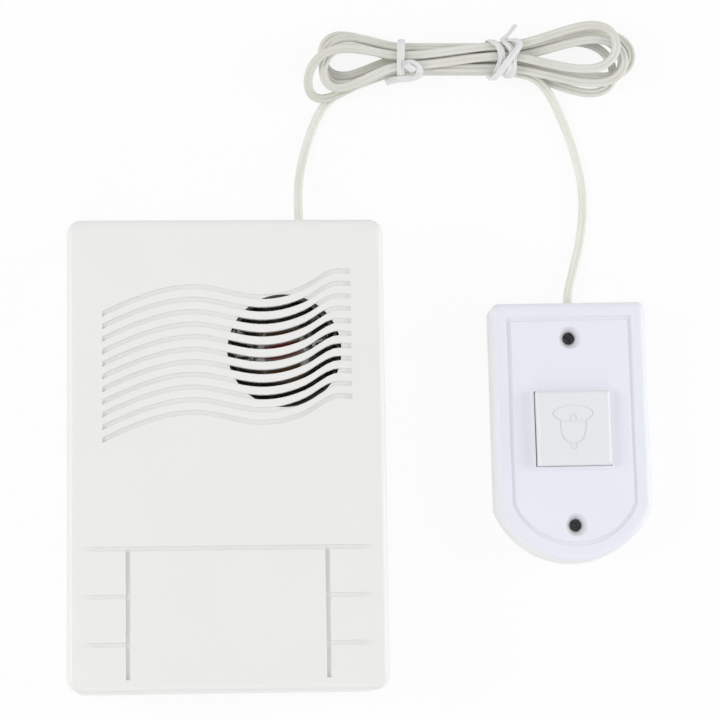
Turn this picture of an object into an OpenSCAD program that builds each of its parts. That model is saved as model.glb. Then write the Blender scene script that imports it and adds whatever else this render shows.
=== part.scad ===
// Wired doorbell set: chime box, bell push and the twin lead between them, wound into a tied hank.
// The set lies flat: X to the right, Y towards the edge that the lead leaves, Z out of the front face.
// The origin is the centre of the chime box's back face.

/* [Chime box shell] */
// Width of the box
case_w = 89; // [87:1:110]
// Height of the box on the wall
case_h = 132; // [131:1:160]
// Depth of the box, wall to front face
case_d = 30; // [29:0.5:40]
// Corner radius seen from the front
corner_r = 4; // [3.8:0.1:6]
// Radius of the rounded front edge
edge_r = 2.2; // [1:0.1:3]
// Wall of both shells
wall = 2; // [1.8:0.1:2.2]
// Depth of the rear shell up to the parting line
back_d = 9; // [8:0.5:11]
// Height of the lip that centres the two shells
lip_h = 2; // [1:0.25:3]
// Thickness of that lip
lip_t = 1.2; // [0.8:0.1:1.4]
// Radius of the screw bosses in the front shell
boss_r = 3; // [2.6:0.1:3.4]
// Distance of the bosses from the outer faces
boss_inset = 7; // [6.8:0.1:8]

/* [Front pattern] */
// Number of wave grooves
wave_count = 11; // [7:1:12]
// Distance from one wave to the next
wave_pitch = 3.55; // [3:0.05:3.8]
// Width of a groove
wave_width = 1.3; // [1:0.1:2]
// Depth of a groove
wave_depth = 0.7; // [0.4:0.1:1]
// Height of the first groove's left end
wave_base = 39.1; // [34:0.1:44]
// Centre of the open slots and of the speaker, across the box
grille_x = 16.1; // [14:0.1:18]
// Centre of the open slots and of the speaker, up the box
grille_y = 28.8; // [26:0.1:30]
// Radius of the area where the grooves are open
grille_r = 16; // [12:0.1:16.5]
// Height of the line across the lower panel
panel_line_y = -26.7; // [-30:0.1:-20]
// Distance of the two upright lines from the middle
panel_line_x = 27.6; // [20:0.1:32]
// Width of the panel lines
line_width = 1.15; // [0.6:0.05:2]
// Depth of the panel lines across
line_depth = 0.6; // [0.3:0.1:1]
// Depth of the upright panel lines
upright_depth = 0.9; // [0.3:0.1:1]

/* [Batteries] */
// Diameter of a cell
cell_d = 14.2; // [13.5:0.1:14.5]
// Length of a cell without its nub
cell_l = 49.3; // [48:0.1:50.5]
// Length of a contact spring
cell_spring_l = 5.1; // [4:0.1:6]
// Space round a cell
cell_gap = 0.5; // [0.3:0.1:0.8]
// Wall of the battery bay
bay_wall = 1.6; // [1.2:0.1:2]
// Middle of the bay above the lower edge of the box
bay_inset = 21; // [20:0.5:23]
// Thickness of the sliding door
door_t = 1.6; // [1.2:0.1:1.8]
// Width of the door's side tongues
tongue_w = 1.2; // [0.8:0.1:2]
// Play of the door in its guides
door_gap = 0.25; // [0.15:0.05:0.35]

/* [Circuit board] */
// Width of the board
board_w = 28; // [26:1:30]
// Height of the board
board_h = 40; // [36:1:44]
// Thickness of the board
board_t = 1.6; // [1:0.1:2]
// Middle of the board across the box
board_x = -24; // [-25:0.5:-23]
// Middle of the board below the upper edge of the box
board_drop = 36; // [34:0.5:40]
// Height of the posts that carry the board
board_post_h = 10; // [8:0.5:12]

/* [Speaker] */
// Radius of the speaker frame
speaker_r = 20; // [19:0.1:20.5]
// Thickness of the frame's flange
flange_t = 1; // [0.8:0.1:1.4]
// Height of the rib that the speaker sits on
speaker_seat_h = 1.5; // [1.2:0.1:2.5]
// Travel of the cone each way
cone_travel = 0.5; // [0.2:0.1:0.6]

/* [Bell push] */
// Width of the push
unit_w = 45; // [43:0.5:50]
// Length of the push
unit_l = 75; // [73:0.5:84]
// Height of its panel above the wall
unit_d = 12; // [11.5:0.5:16]
// Radius of its two square-end corners
unit_corner_r = 2.3; // [2:0.1:4]
// Radius of its rounded outer edge
unit_edge_r = 2.2; // [1.5:0.1:2.9]
// Radius of its round end
unit_round_r = 24; // [23.5:0.5:26]
// Radius where the sides turn into the round end
unit_shoulder_r = 8; // [7:0.5:10]
// Wall of its cover
unit_wall = 1.8; // [1.5:0.1:2]
// Distance of the panel line from the edge
rim_w = 4.9; // [4.5:0.1:6]
// Thickness of its back plate
base_t = 2; // [1.6:0.1:2.4]
// Distance of its two screw holes from its ends
screw_inset = 10.4; // [9.5:0.1:11.5]
// Radius of its screw holes
screw_hole_r = 1.75; // [1.5:0.05:2]
// Radius of the screw recess at the panel
screw_recess_r = 3.4; // [3:0.1:3.8]
// Depth of the screw recess
screw_recess_h = 2.5; // [1:0.1:2.5]
// Width of the square cap
cap_w = 21.5; // [18:0.5:22]
// Distance of the cap above the middle of the push
cap_y = 0.5; // [0:0.1:1]
// Height of the cap above the panel
cap_proud = 3; // [2.2:0.1:4]
// Bevel of the cap's edges
cap_bevel = 0.7; // [0.3:0.1:1.2]
// Gap round the cap
cap_gap = 0.25; // [0.2:0.05:0.5]
// Travel of the cap
cap_travel = 2; // [1:0.1:2.2]
// Place of the push, across
unit_x = 99.6; // [96:0.1:110]
// Place of the push, up
unit_y = 7.3; // [0:0.1:12]
// Turn of the push on the ground
unit_turn = 0.6; // [0:0.1:1]

/* [Lead] */
// Width of the flat twin lead
cord_w = 2.6; // [2.2:0.1:2.7]
// Thickness of the lead
cord_t = 1.4; // [1.1:0.1:1.5]
// Place of the lead on the top edge of the box
cord_exit_x = 21.7; // [18:0.1:26]
// Place of the lead on the square end of the push
unit_exit_x = 1.1; // [-2:0.1:2]
// Play of the lead in its notches
notch_gap = 0.2; // [0.1:0.05:0.3]
// Diameter of the single wires inside
wire_d = 1; // [0.8:0.1:1.2]
// Thickness of the two ties
tie_t = 0.8; // [0.6:0.1:0.9]

/* [Hidden] */
$fn = 64;

// Overlap that joins the shapes of one piece
join = 0.5;
// Room that a cut takes beyond a face
past = 1;
// Gap between pieces that only lie near each other
near = 0.3;
// Play of a screw in its hole
screw_gap = 0.05;

// Inner faces of the box
floor_z = wall;
front_in_z = case_d - wall;
boss_x = case_w / 2 - boss_inset;
boss_y = case_h / 2 - boss_inset;
lip_gap = 0.2;
case_screw_r = 1.2;
case_screw_l = 11;
screw_head_r = 2.5;
screw_head_h = 1;
head_recess = 1.2;

// Wave grooves: places along the box, rise above the left end and slope at each place
wave_x = [-34.5, -9, 9, 22, 30, 35];
wave_rise = [0, 7.6, 4.6, 7.25, 11.75, 11.8];
wave_slope = [0.48, 0, -0.05, 0.45, 0.26, 0];
wave_step = 2.4;
// Lower panel: places of the short side lines below the long one
side_line_drop = [13.2, 26.4];
line_end = 3.4;
line_fade = 4;
// The open slots sit a little right of the speaker's middle and below it
open_dx = 0.2;
open_dy = -0.3;

// Battery bay, door and contacts
nub_l = 1.2;
nub_r = 2.75;
plate_t = 0.4;
plate_half = 5;
bay_y = bay_inset - case_h / 2;
end_play = 0.15;
door_z = 0.3;
door_top = door_z + door_t;
cell_z = door_top + near + cell_d / 2;
bay_w = cell_l + nub_l + cell_spring_l + 2 * plate_t + 2 * end_play;
bay_h = 2 * cell_d + 3 * cell_gap;
bay_top = cell_z + cell_d / 2 + cell_gap;
bay_ceiling = 1.5;
cell_dy = (cell_d + cell_gap) / 2;
door_lap = 1.4;
door_w = bay_w + 2 * door_lap;
door_end = bay_y + bay_h / 2 + bay_wall / 2;
rail_w = tongue_w + 2.6;
rail_h = 2;
rail_end = door_w / 2 + rail_w;
tongue_t = 0.8;
tab_w = 3;
tab_h = 3.2;
spring_wire = 0.8;
spring_turns = 4;
spring_rings = 8;
spring_wide_r = 4.6;
spring_tip_r = 2.8;

// Wall keyhole
keyhole_drop = 14;
keyhole_y = case_h / 2 - keyhole_drop;
keyhole_r = 4;
keyhole_slot_r = 2;
keyhole_rise = 6;

// Circuit board
board_y = case_h / 2 - board_drop;
board_z = floor_z + board_post_h;
board_top = board_z + board_t;
board_mid = board_z + board_t / 2;
board_post_r = 3;
board_screw_r = 0.95;
board_screw_l = 7;
post_inset = 4;
post_dx = board_w / 2 - post_inset;
post_dy = board_h / 2 - post_inset;
board_head_r = 2.2;
board_head_h = 1.4;

// Speaker, measured back from its flange
flange_front = front_in_z - speaker_seat_h;
flange_back = flange_front - flange_t;
basket_depth = 6;
basket_floor = flange_back - basket_depth;
basket_in_r = 17.2;
basket_floor_r = 13;
yoke_r = 10.5;
yoke_wall = 1.2;
yoke_h = 5;
magnet_r = 7;
magnet_h = 2.6;
plate_r = 6.9;
pole_h = 1.2;
coil_r = 7.4;
coil_t = 1.0;
coil_h = 4;
film_t = 0.3;
cone_r = 14.2;
dome_h = 1.5;
cone_base_z = basket_floor + 2.6;
cone_edge_z = flange_back + 0.1;
roll_r = (basket_in_r - cone_r) / 2;
collar_gap = 0.3;
collar_t = 1.2;
speaker_screw_at = speaker_r + 2.5;
washer_r = 3.6;
washer_t = 1.2;

// Bell push
unit_half = unit_w / 2;
unit_top = unit_l / 2;
screw_spacing = unit_l - 2 * screw_inset;
panel_t = 1.8;
panel_in = unit_d - panel_t;
round_y = -unit_l / 2 + unit_round_r;
shoulder_x = unit_half - unit_shoulder_r;
shoulder_y = round_y - sqrt(pow(unit_round_r - unit_shoulder_r, 2) - shoulder_x * shoulder_x);
shoulder_angle = atan2(round_y - shoulder_y, shoulder_x);
base_gap = 0.25;
post_r = 4.2;
rim_line_w = 1.1;
rim_line_h = 0.5;
collar_w = 0.8;
collar_h = 0.5;
cap_top = unit_d + cap_proud;
cap_wall = 1.5;
flange_w = cap_w + 2.4;
flange_h = 1.3;
flange_top = panel_in - near;
cap_low = flange_top - flange_h;
cap_roof = cap_top - 2;
seat_z = cap_low + 0.4;
push_spring_r = 3.2;
push_spring_wire = 0.5;
push_spring_turns = 6;
pin_r = 2.2;
pin_h = 3;
bridge_t = 0.4;
bridge_l = 16;
bridge_w = 3;
bridge_y = -7;
contact_t = 0.4;
contact_gap = 0.1;
contact_top = cap_low - bridge_t - cap_travel - contact_gap;
contact_x = 6;
terminal_x = 14;
terminal_screw_r = 1.2;
terminal_head_r = 2.5;
terminal_head_h = 1.4;
bell_line = 0.35;
bell_depth = 0.25;
bell_x = -0.25;
mouth_rx = 5.95;
mouth_ry = 2.5;
mouth_y = 4.6;
knob_r = 1;
loop_r = 0.95;
loop_y = 3.7;

// Lead sections: across and up, for the free stretches and for the hank
cord_oval = [for (s = [[1, 0.4], [0.6, 1], [-0.6, 1], [-1, 0.4],
        [-1, -0.4], [-0.6, -1], [0.6, -1], [1, -0.4]])
    [s[0] * cord_w / 2, s[1] * cord_t / 2]];
hank_flat = 0.58;
hank_oval = [for (s = [[1, 0], [hank_flat, 1], [-hank_flat, 1], [-1, 0], [-hank_flat, -1], [hank_flat, -1]])
    [s[0] * cord_w / 2, s[1] * cord_t / 2]];
wire_round = [for (a = [0:60:300]) [cos(a) * wire_d / 2, sin(a) * wire_d / 2]];
notch_w = cord_w + 2 * notch_gap;
notch_h = cord_t + 2 * notch_gap;
exit_z = back_d - notch_h / 2;
unit_exit_z = base_t + notch_gap + cord_t / 2;

// Hank: loops, and the column and layer of each run at the waist
hank_x = 67.8;
hank_y = 118.3;
hank_loops = 5;
hank_waist = 16;
hank_join = 13;
hank_rise = 0.8;
strap_x = -15;
twist_x = 14.6;
hank_gap = 0.5;
hank_lift = 0.6;
hank_column = cord_w + hank_gap;
hank_layer = cord_t + hank_lift;
hank_floor = 0.1 + cord_t / 2;
hank_low = 0.1 + tie_t + near + cord_t / 2;
column_left = [-1, 1, 0, 1, 0, 1, -1, 0, -1, 0, -1];
column_right = [-1, 1, 0, 1, 0, 1, -1, 0, 0, 1, -1];
run_layer = [0, 0, 0, 1, 1, 2, 2, 2, 3, 3, 1];
hank_steps = 9;
// Loops at the right end reach furthest in the middle of the pile
right_reach = 53.5;
right_step = 2.5;
right_fan = 2.5;
right_half = 6;
// Loops at the left end lean down one after the other, and the last one drops under the rest
left_reach = 38.5;
left_lean = 1.4;
left_step = -1.2;
left_half = 5.6;
last_reach = 43;
last_lean = -5.3;
last_level = 0.85;
drop_from = 0.36;
drop_over = 0.34;
loop_swell = 1.1;

// Route of the lead from the box to the hank
lead_low_y = hank_y + hank_rise - hank_column;
lead_chime = [[cord_exit_x, case_h / 2, exit_z], [cord_exit_x, case_h / 2 + 3, exit_z], [21.6, 74, 7],
    [21.7, 79, 5], [22.3, 84.5, 2.8], [23.4, 90, 1.4], [25.2, 96, 0.8], [27.4, 101.6, 0.8],
    [30, 106, 0.8], [33, 108.8, 0.8], [36.6, 110.8, 0.8], [40.6, 112.4, 1], [44.6, 113.8, 1.4],
    [48.2, 115, 1.8], [hank_x - hank_waist, lead_low_y, hank_low],
    [hank_x - hank_join, lead_low_y, hank_low]];
// Route of the lead from the hank to the push
lead_button = [[hank_x + hank_join, lead_low_y, hank_low + hank_layer],
    [hank_x + hank_waist, lead_low_y, hank_low + hank_layer], [86.6, 115.3, 3.9], [89.4, 114.5, 3.9],
    [92.2, 113.4, 3.8], [94.6, 111.3, 3.6], [96.7, 108.6, 2.8], [99.2, 104, 1.5], [102, 97, 0.8],
    [104.4, 89, 0.8], [105.8, 80.8, 0.8], [105.8, 72.6, 0.8], [104.6, 64.4, 0.9], [102.6, 56.6, 1.6],
    [100.9, 50.6, 2.6], unit_point(unit_exit_x, unit_top + 3, unit_exit_z),
    unit_point(unit_exit_x, unit_top, unit_exit_z)];
// Route of the lead inside the box, from its notch to the board's upper edge
case_top = case_h / 2;
board_edge_y = board_y + board_h / 2;
tail_chime = [[cord_exit_x, case_top, exit_z], [cord_exit_x, case_top - 5, exit_z],
    [21.3, case_top - 8, 8.2],
    [18.6, case_top - 10.6, 8.6], [13, case_top - 11.4, 9.6], [6, case_top - 11.2, 10.8],
    [-2, case_top - 10.8, 11.8], [-10, case_top - 10.2, 12.6], [board_x, case_top - 9.8, board_mid],
    [board_x - 2.6, case_top - 11.2, board_mid], [board_x - 3, board_edge_y + 2.6, board_mid],
    [board_x - 3, board_edge_y, board_mid]];
// Route of the lead inside the push, beside the upper screw post
tail_button = [[unit_exit_x, unit_top, unit_exit_z], [unit_exit_x, unit_top - 3.4, unit_exit_z],
    [2.6, unit_top - 4.9, unit_exit_z], [5.4, unit_top - 7.1, unit_exit_z],
    [6.9, unit_top - 10.5, unit_exit_z],
    [7.4, unit_top - 15.5, unit_exit_z], [8.2, unit_top - 19.5, unit_exit_z],
    [9, unit_top - 22.5, unit_exit_z],
    [9, unit_top - 25.1, unit_exit_z]];

// General shapes and curves

function unit_vector(v) = v / norm(v);
function smooth(t) = let(c = max(0, min(1, t))) c * c * (3 - 2 * c);
function arc(x, y, r, a0, a1, n) = [for (k = [0:n])
    let(a = a0 + (a1 - a0) * k / n) [x + r * cos(a), y + r * sin(a)]];
function round_rect(w, h, r, n = 8) = concat(
    arc(w / 2 - r, h / 2 - r, r, 0, 90, n), arc(r - w / 2, h / 2 - r, r, 90, 180, n),
    arc(r - w / 2, r - h / 2, r, 180, 270, n), arc(w / 2 - r, r - h / 2, r, 270, 360, n));

// One ring of a tube: the section stands square to the route, its width level
function ring(route, i, section) =
    let(t = unit_vector(route[min(i + 1, len(route) - 1)] - route[max(i - 1, 0)]),
        across = unit_vector(cross(t, [0, 0, 1])), up = cross(across, t))
    [for (s = section) route[i] + s[0] * across + s[1] * up];

module tube(route, section) {
    m = len(section);
    last = (len(route) - 1) * m;
    points = [for (i = [0:len(route) - 1]) each ring(route, i, section)];
    sides = [for (i = [0:len(route) - 2], k = [0:m - 1])
        let(a = i * m + k, b = i * m + (k + 1) % m) each [[a, b, b + m], [a, b + m, a + m]]];
    caps = [for (k = [1:m - 2]) each [[0, k + 1, k], [last, last + k, last + k + 1]]];
    polyhedron(points, concat(sides, caps));
}

function helix(r0, r1, h, turns, per_turn) = [for (i = [0:turns * per_turn])
    let(f = i / (turns * per_turn), a = 360 * i / per_turn, r = r0 + (r1 - r0) * f)
    [r * cos(a), r * sin(a), h * f]];

// Carries a profile round a rectangle with round corners, its x measured from the corner axis
module carry_round(w, h, r) {
    for (sx = [0, 1], sy = [0, 1])
        mirror([sx, 0, 0]) mirror([0, sy, 0])
            translate([w / 2 - r, h / 2 - r, 0]) rotate_extrude(angle = 90) children();
    for (s = [0, 180]) rotate([0, 0, s]) {
        translate([w / 2 - r, h / 2 - r, 0]) rotate([90, 0, 0]) linear_extrude(h - 2 * r) children();
        translate([r - w / 2, h / 2 - r, 0]) rotate([90, 0, 90]) linear_extrude(w - 2 * r) children();
    }
}

// Section of a side that is filled: upright, with a rounded front edge
module solid_profile(r, fillet, z1) {
    square([r, z1 - fillet]);
    translate([0, z1 - fillet]) square([r - fillet, fillet]);
    translate([r - fillet, z1 - fillet]) intersection() {
        circle(fillet);
        square(fillet);
    }
}

// Section of a shell's side: the same with the room behind its wall and front plate taken out
module shell_profile(r, fillet, thick, z0, z1) difference() {
    solid_profile(r, fillet, z1);
    translate([-past, -past]) square([r - thick + past, z1 - thick + past]);
    translate([-past, -past]) square([r + 2 * past, z0 + past]);
}

module block(x0, x1, y0, y1, z0, z1) {
    translate([x0, y0, z0]) cube([x1 - x0, y1 - y0, z1 - z0]);
}

module disc(x, y, r, z0, z1) {
    translate([x, y, z0]) cylinder(r = r, h = z1 - z0);
}

// Chime box shells

function hermite(t, a, b, ma, mb) = a * (1 + 2 * t) * pow(1 - t, 2) + ma * t * pow(1 - t, 2)
    + b * t * t * (3 - 2 * t) + mb * t * t * (t - 1);
function hermite_slope(t, a, b, ma, mb) = 6 * t * (t - 1) * (a - b) + ma * (1 - t) * (1 - 3 * t)
    + mb * t * (3 * t - 2);

// Middle line of a groove: place, height, and half of the groove measured upright
wave_line = [for (s = [0:len(wave_x) - 2])
    let(dx = wave_x[s + 1] - wave_x[s], n = ceil(dx / wave_step), a = wave_rise[s], b = wave_rise[s + 1],
        ma = wave_slope[s] * dx, mb = wave_slope[s + 1] * dx)
    for (k = [(s == 0 ? 0 : 1):n])
        let(t = k / n, m = hermite_slope(t, a, b, ma, mb) / dx)
        [wave_x[s] + t * dx, wave_base + hermite(t, a, b, ma, mb), wave_width / 2 * sqrt(1 + m * m)]];

module waves() {
    n = len(wave_line) - 1;
    for (i = [0:wave_count - 1]) translate([0, -i * wave_pitch])
        polygon(concat([for (p = wave_line) [p[0], p[1] + p[2]]],
            [for (k = [0:n]) let(p = wave_line[n - k]) [p[0], p[1] - p[2]]]));
}

// Line across the panel, from x0 to x1, whose floor rises to the face over the given lengths at its ends
module line_across(x0, x1, y, rise0, rise1) {
    z0 = case_d - line_depth;
    translate([0, y + line_width / 2, 0]) rotate([90, 0, 0]) linear_extrude(line_width)
        polygon([[x0, case_d + past], [x0, case_d], [x0 + rise0, z0], [x1 - rise1, z0], [x1, case_d],
            [x1, case_d + past]]);
}

module panel_lines() {
    half = line_width / 2;
    reach = case_w / 2 - line_end;
    low = line_end - case_h / 2;
    line_across(-reach, reach, panel_line_y, line_fade, line_fade);
    for (drop = side_line_drop) {
        line_across(-reach, -panel_line_x, panel_line_y - drop, line_fade, 0);
        line_across(panel_line_x, reach, panel_line_y - drop, 0, line_fade);
    }
    for (s = [-1, 1]) block(s * panel_line_x - half, s * panel_line_x + half, low, panel_line_y,
        case_d - upright_depth, case_d + past);
}

function speaker_screw_places() = [for (a = [90, 210, 330])
    [grille_x + speaker_screw_at * cos(a), grille_y + speaker_screw_at * sin(a)]];

module front_cover() color("whitesmoke") difference() {
    union() {
        carry_round(case_w, case_h, corner_r) shell_profile(corner_r, edge_r, wall, back_d, case_d);
        block(corner_r - case_w / 2, case_w / 2 - corner_r, corner_r - case_h / 2, case_h / 2 - corner_r,
            front_in_z, case_d);
        for (sx = [-1, 1], sy = [-1, 1]) disc(sx * boss_x, sy * boss_y, boss_r, floor_z, front_in_z + join);
        difference() {
            union() {
                disc(grille_x, grille_y, speaker_r + collar_gap + collar_t, flange_back, front_in_z + join);
                for (p = speaker_screw_places()) disc(p[0], p[1], collar_t + 1.2, flange_back,
                    front_in_z + join);
            }
            disc(grille_x, grille_y, speaker_r + collar_gap, flange_back - past, flange_front);
            disc(grille_x, grille_y, basket_in_r, flange_back - past, front_in_z);
        }
    }
    for (sx = [-1, 1], sy = [-1, 1])
        disc(sx * boss_x, sy * boss_y, case_screw_r + screw_gap, floor_z - past,
            head_recess + case_screw_l + past);
    for (p = speaker_screw_places())
        disc(p[0], p[1], board_screw_r + screw_gap, flange_back - past, front_in_z);
    translate([0, 0, case_d - wave_depth]) linear_extrude(wave_depth + past) waves();
    translate([0, 0, front_in_z - past]) linear_extrude(wall + past) intersection() {
        waves();
        translate([grille_x + open_dx, grille_y + open_dy]) circle(grille_r);
    }
    panel_lines();
}

module back_profile() {
    inner = corner_r - wall;
    chamfer = 0.6;
    polygon([[0, 0], [corner_r - chamfer, 0], [corner_r, chamfer], [corner_r, back_d],
        [inner - lip_gap, back_d],
        [inner - lip_gap, back_d + lip_h], [inner - lip_gap - lip_t, back_d + lip_h],
        [inner - lip_gap - lip_t, back_d - lip_h], [inner, back_d - lip_h], [inner, floor_z],
        [0, floor_z]]);
}

// The door's own shape, with room all round for its guides
module door_shape(gap, y0, y1) {
    block(-door_w / 2 - gap, door_w / 2 + gap, y0, y1, door_z - gap, door_top + gap);
    block(-door_w / 2 - tongue_w - gap, door_w / 2 + tongue_w + gap, y0, y1, door_top - tongue_t - gap,
        door_top + gap);
}

module back_case() color("whitesmoke") difference() {
    union() {
        carry_round(case_w, case_h, corner_r) back_profile();
        block(corner_r - case_w / 2, case_w / 2 - corner_r, corner_r - case_h / 2, case_h / 2 - corner_r,
            0, floor_z);
        block(-bay_w / 2 - bay_wall, bay_w / 2 + bay_wall, bay_y - bay_h / 2 - bay_wall,
            bay_y + bay_h / 2 + bay_wall,
            floor_z - join, bay_top + bay_ceiling);
        for (s = [-1, 1])
            block(min(s * bay_w / 2, s * rail_end), max(s * bay_w / 2, s * rail_end),
                bay_y - bay_h / 2 - bay_wall, bay_y + bay_h / 2 + bay_wall, floor_z - join, floor_z + rail_h);
        for (s = [-1, 1]) {
            disc(board_x + s * post_dx, board_y + s * post_dy, board_post_r, floor_z - join, board_z);
            disc(cord_exit_x + s * (cord_w / 2 + 2), case_h / 2 - 6.6, 1.4, floor_z - join, back_d + 1);
        }
    }
    block(-bay_w / 2, bay_w / 2, bay_y - bay_h / 2, bay_y + bay_h / 2, -past, bay_top);
    door_shape(door_gap, -case_h / 2 - past, door_end + door_gap);
    block(-door_w / 2 - door_gap, door_w / 2 + door_gap, -case_h / 2 - past, door_end + door_gap, -past,
        door_z);
    for (y = [-1, 1] * cell_dy) block(-bay_w / 2 - 0.1, plate_t + 0.1 - bay_w / 2,
        bay_y + y - tab_w / 2 - 0.2,
        bay_y + y + tab_w / 2 + 0.2, bay_top - past, bay_top + bay_ceiling + past);
    for (sx = [-1, 1], sy = [-1, 1]) {
        disc(sx * boss_x, sy * boss_y, case_screw_r + 0.3, -past, floor_z + past);
        disc(sx * boss_x, sy * boss_y, screw_head_r + near, -past, head_recess);
    }
    for (s = [-1, 1]) disc(board_x + s * post_dx, board_y + s * post_dy, board_screw_r + screw_gap,
        board_top - board_screw_l - near, board_z + past);
    disc(0, keyhole_y, keyhole_r, -past, floor_z + past);
    disc(0, keyhole_y + keyhole_rise, keyhole_slot_r, -past, floor_z + past);
    block(-keyhole_slot_r, keyhole_slot_r, keyhole_y, keyhole_y + keyhole_rise, -past, floor_z + past);
    block(cord_exit_x - notch_w / 2, cord_exit_x + notch_w / 2, case_h / 2 - wall - lip_gap - lip_t - past,
        case_h / 2 + past, back_d - notch_h, back_d + lip_h + past);
}

module battery_cover() color("whitesmoke") {
    block(-door_w / 2, door_w / 2, -case_h / 2, door_end, door_z, door_top);
    block(-door_w / 2 - tongue_w, door_w / 2 + tongue_w, wall - case_h / 2, door_end, door_top - tongue_t,
        door_top);
    for (k = [0:4]) block(-12, 12, 5 - case_h / 2 + 2 * k, 6 - case_h / 2 + 2 * k, door_z - 0.2,
        door_z + join);
}

module case_screws() color("silver") for (sx = [-1, 1], sy = [-1, 1]) {
    disc(sx * boss_x, sy * boss_y, screw_head_r, head_recess - screw_head_h, head_recess);
    disc(sx * boss_x, sy * boss_y, case_screw_r, head_recess - 0.2, head_recess + case_screw_l);
}

// Batteries and their contacts

// A cell lies along the box, nub to the right; turned end for end when side is -1
module cell(side) {
    start = plate_t + end_play + cell_spring_l - bay_w / 2;
    translate([0, bay_y + side * cell_dy, cell_z]) rotate([0, 0, side > 0 ? 0 : 180]) rotate([0, 90, 0]) {
        translate([0, 0, start]) cylinder(r = cell_d / 2, h = cell_l);
        translate([0, 0, start + cell_l - join]) cylinder(r = nub_r, h = nub_l + join);
    }
}

module battery_upper() color("dimgray") cell(1);

module battery_lower() color("dimgray") cell(-1);

module battery_springs() color("silver") {
    wire = [for (a = [30:60:330]) [cos(a), sin(a)] * spring_wire / 2];
    length = cell_spring_l - spring_wire - 0.2;
    for (side = [1, -1])
        translate([0, bay_y + side * cell_dy, cell_z]) rotate([0, 0, side > 0 ? 0 : 180]) rotate([0, 90, 0])
            translate([0, 0, plate_t + 0.1 + spring_wire / 2 - bay_w / 2])
                tube(helix(spring_wide_r, spring_tip_r, length, spring_turns, spring_rings), wire);
}

module battery_terminals() color("silver") for (y = [-1, 1] * cell_dy) {
    block(-bay_w / 2, plate_t - bay_w / 2, bay_y + y - plate_half, bay_y + y + plate_half,
        cell_z - plate_half, cell_z + plate_half);
    block(-bay_w / 2, plate_t - bay_w / 2, bay_y + y - tab_w / 2, bay_y + y + tab_w / 2, cell_z,
        bay_top + bay_ceiling + tab_h);
}

module battery_bridge() color("silver")
    block(bay_w / 2 - plate_t, bay_w / 2, bay_y - cell_dy - plate_half, bay_y + cell_dy + plate_half,
        cell_z - plate_half, cell_z + plate_half);

// Circuit board

module circuit_board() color("darkgreen") difference() {
    block(board_x - board_w / 2, board_x + board_w / 2, board_y - board_h / 2, board_y + board_h / 2,
        board_z, board_top);
    for (s = [-1, 1]) disc(board_x + s * post_dx, board_y + s * post_dy, board_screw_r + near,
        board_z - past, board_top + past);
}

module board_screws() color("silver") for (s = [-1, 1]) {
    disc(board_x + s * post_dx, board_y + s * post_dy, board_head_r, board_top, board_top + board_head_h);
    disc(board_x + s * post_dx, board_y + s * post_dy, board_screw_r, board_top - board_screw_l,
        board_top + join);
}

// Moulded blob over the sound chip: the cap of a ball
module sound_chip() color("black") {
    ball_r = 8;
    rise = 2.4;
    intersection() {
        translate([board_x, board_y + 4, board_top + rise - ball_r]) sphere(ball_r);
        block(board_x - ball_r, board_x + ball_r, board_y + 4 - ball_r, board_y + 4 + ball_r, board_top,
            board_top + rise + past);
    }
}

module capacitor() color("navy") disc(board_x + 7, board_y - 10, 3.15, board_top, board_top + 9);

module transistors() color("dimgray") for (k = [0, 1])
    translate([board_x - 8 + 8 * k, board_y + 15, board_top]) {
        difference() {
            translate([0, 0, 2]) cylinder(r = 2.3, h = 4.6);
            block(-past * 3, past * 3, -4, -1.3, 1, 8);
        }
        for (x = [-1.2, 0, 1.2]) block(x - 0.2, x + 0.2, -0.2, 0.2, 0, 2 + join);
    }

module resistors() color("tan") for (k = [0:2])
    translate([board_x - 2.5, board_y - 14 + 4 * k, board_top]) {
        translate([-3, 0, 1.8]) rotate([0, 90, 0]) cylinder(r = 1.1, h = 6);
        for (s = [-1, 1]) {
            block(min(s * 2.6, s * 4.2), max(s * 2.6, s * 4.2), -0.25, 0.25, 1.55, 2.05);
            block(s * 4 - 0.25, s * 4 + 0.25, -0.25, 0.25, 0, 2.05);
        }
    }

// Speaker: turned parts on one axis

module on_speaker_axis() translate([grille_x, grille_y, 0]) children();

module speaker_basket() color("dimgray") on_speaker_axis() rotate_extrude()
    polygon([[basket_in_r, flange_back], [basket_in_r, flange_front],
        [speaker_r, flange_front], [speaker_r, flange_back],
        [basket_in_r + 1, flange_back], [basket_floor_r, basket_floor], [yoke_r - yoke_wall, basket_floor],
        [yoke_r - yoke_wall, basket_floor + 1], [basket_floor_r - 0.6, basket_floor + 1]]);

module speaker_yoke() color("silver") on_speaker_axis() rotate_extrude()
    polygon([[0, basket_floor - yoke_h], [yoke_r, basket_floor - yoke_h], [yoke_r, basket_floor],
        [yoke_r - yoke_wall, basket_floor], [yoke_r - yoke_wall, basket_floor - yoke_h + 1.4],
        [0, basket_floor - yoke_h + 1.4]]);

magnet_z = basket_floor - yoke_h + 1.4;

module speaker_magnet() color("darkslategray") disc(grille_x, grille_y, magnet_r, magnet_z,
    magnet_z + magnet_h);

module pole_plate() color("silver") disc(grille_x, grille_y, plate_r, magnet_z + magnet_h,
    magnet_z + magnet_h + pole_h);

module voice_coil() color("peru") on_speaker_axis() rotate_extrude()
    translate([coil_r, cone_base_z - coil_h]) square([coil_t, coil_h]);

// Clear film: a dome inside the coil and a cone out to the roll
module speaker_cone() color("gray") on_speaker_axis() rotate_extrude() {
    dome = [for (k = [0:6]) [coil_r * k / 6, cone_base_z + dome_h * (1 - pow(k / 6, 2))]];
    low = [[coil_r + coil_t, cone_base_z], [cone_r, cone_edge_z]];
    line = concat(dome, low);
    n = len(line) - 1;
    polygon(concat(line, [for (k = [0:n]) line[n - k] + [0, film_t]]));
}

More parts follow.
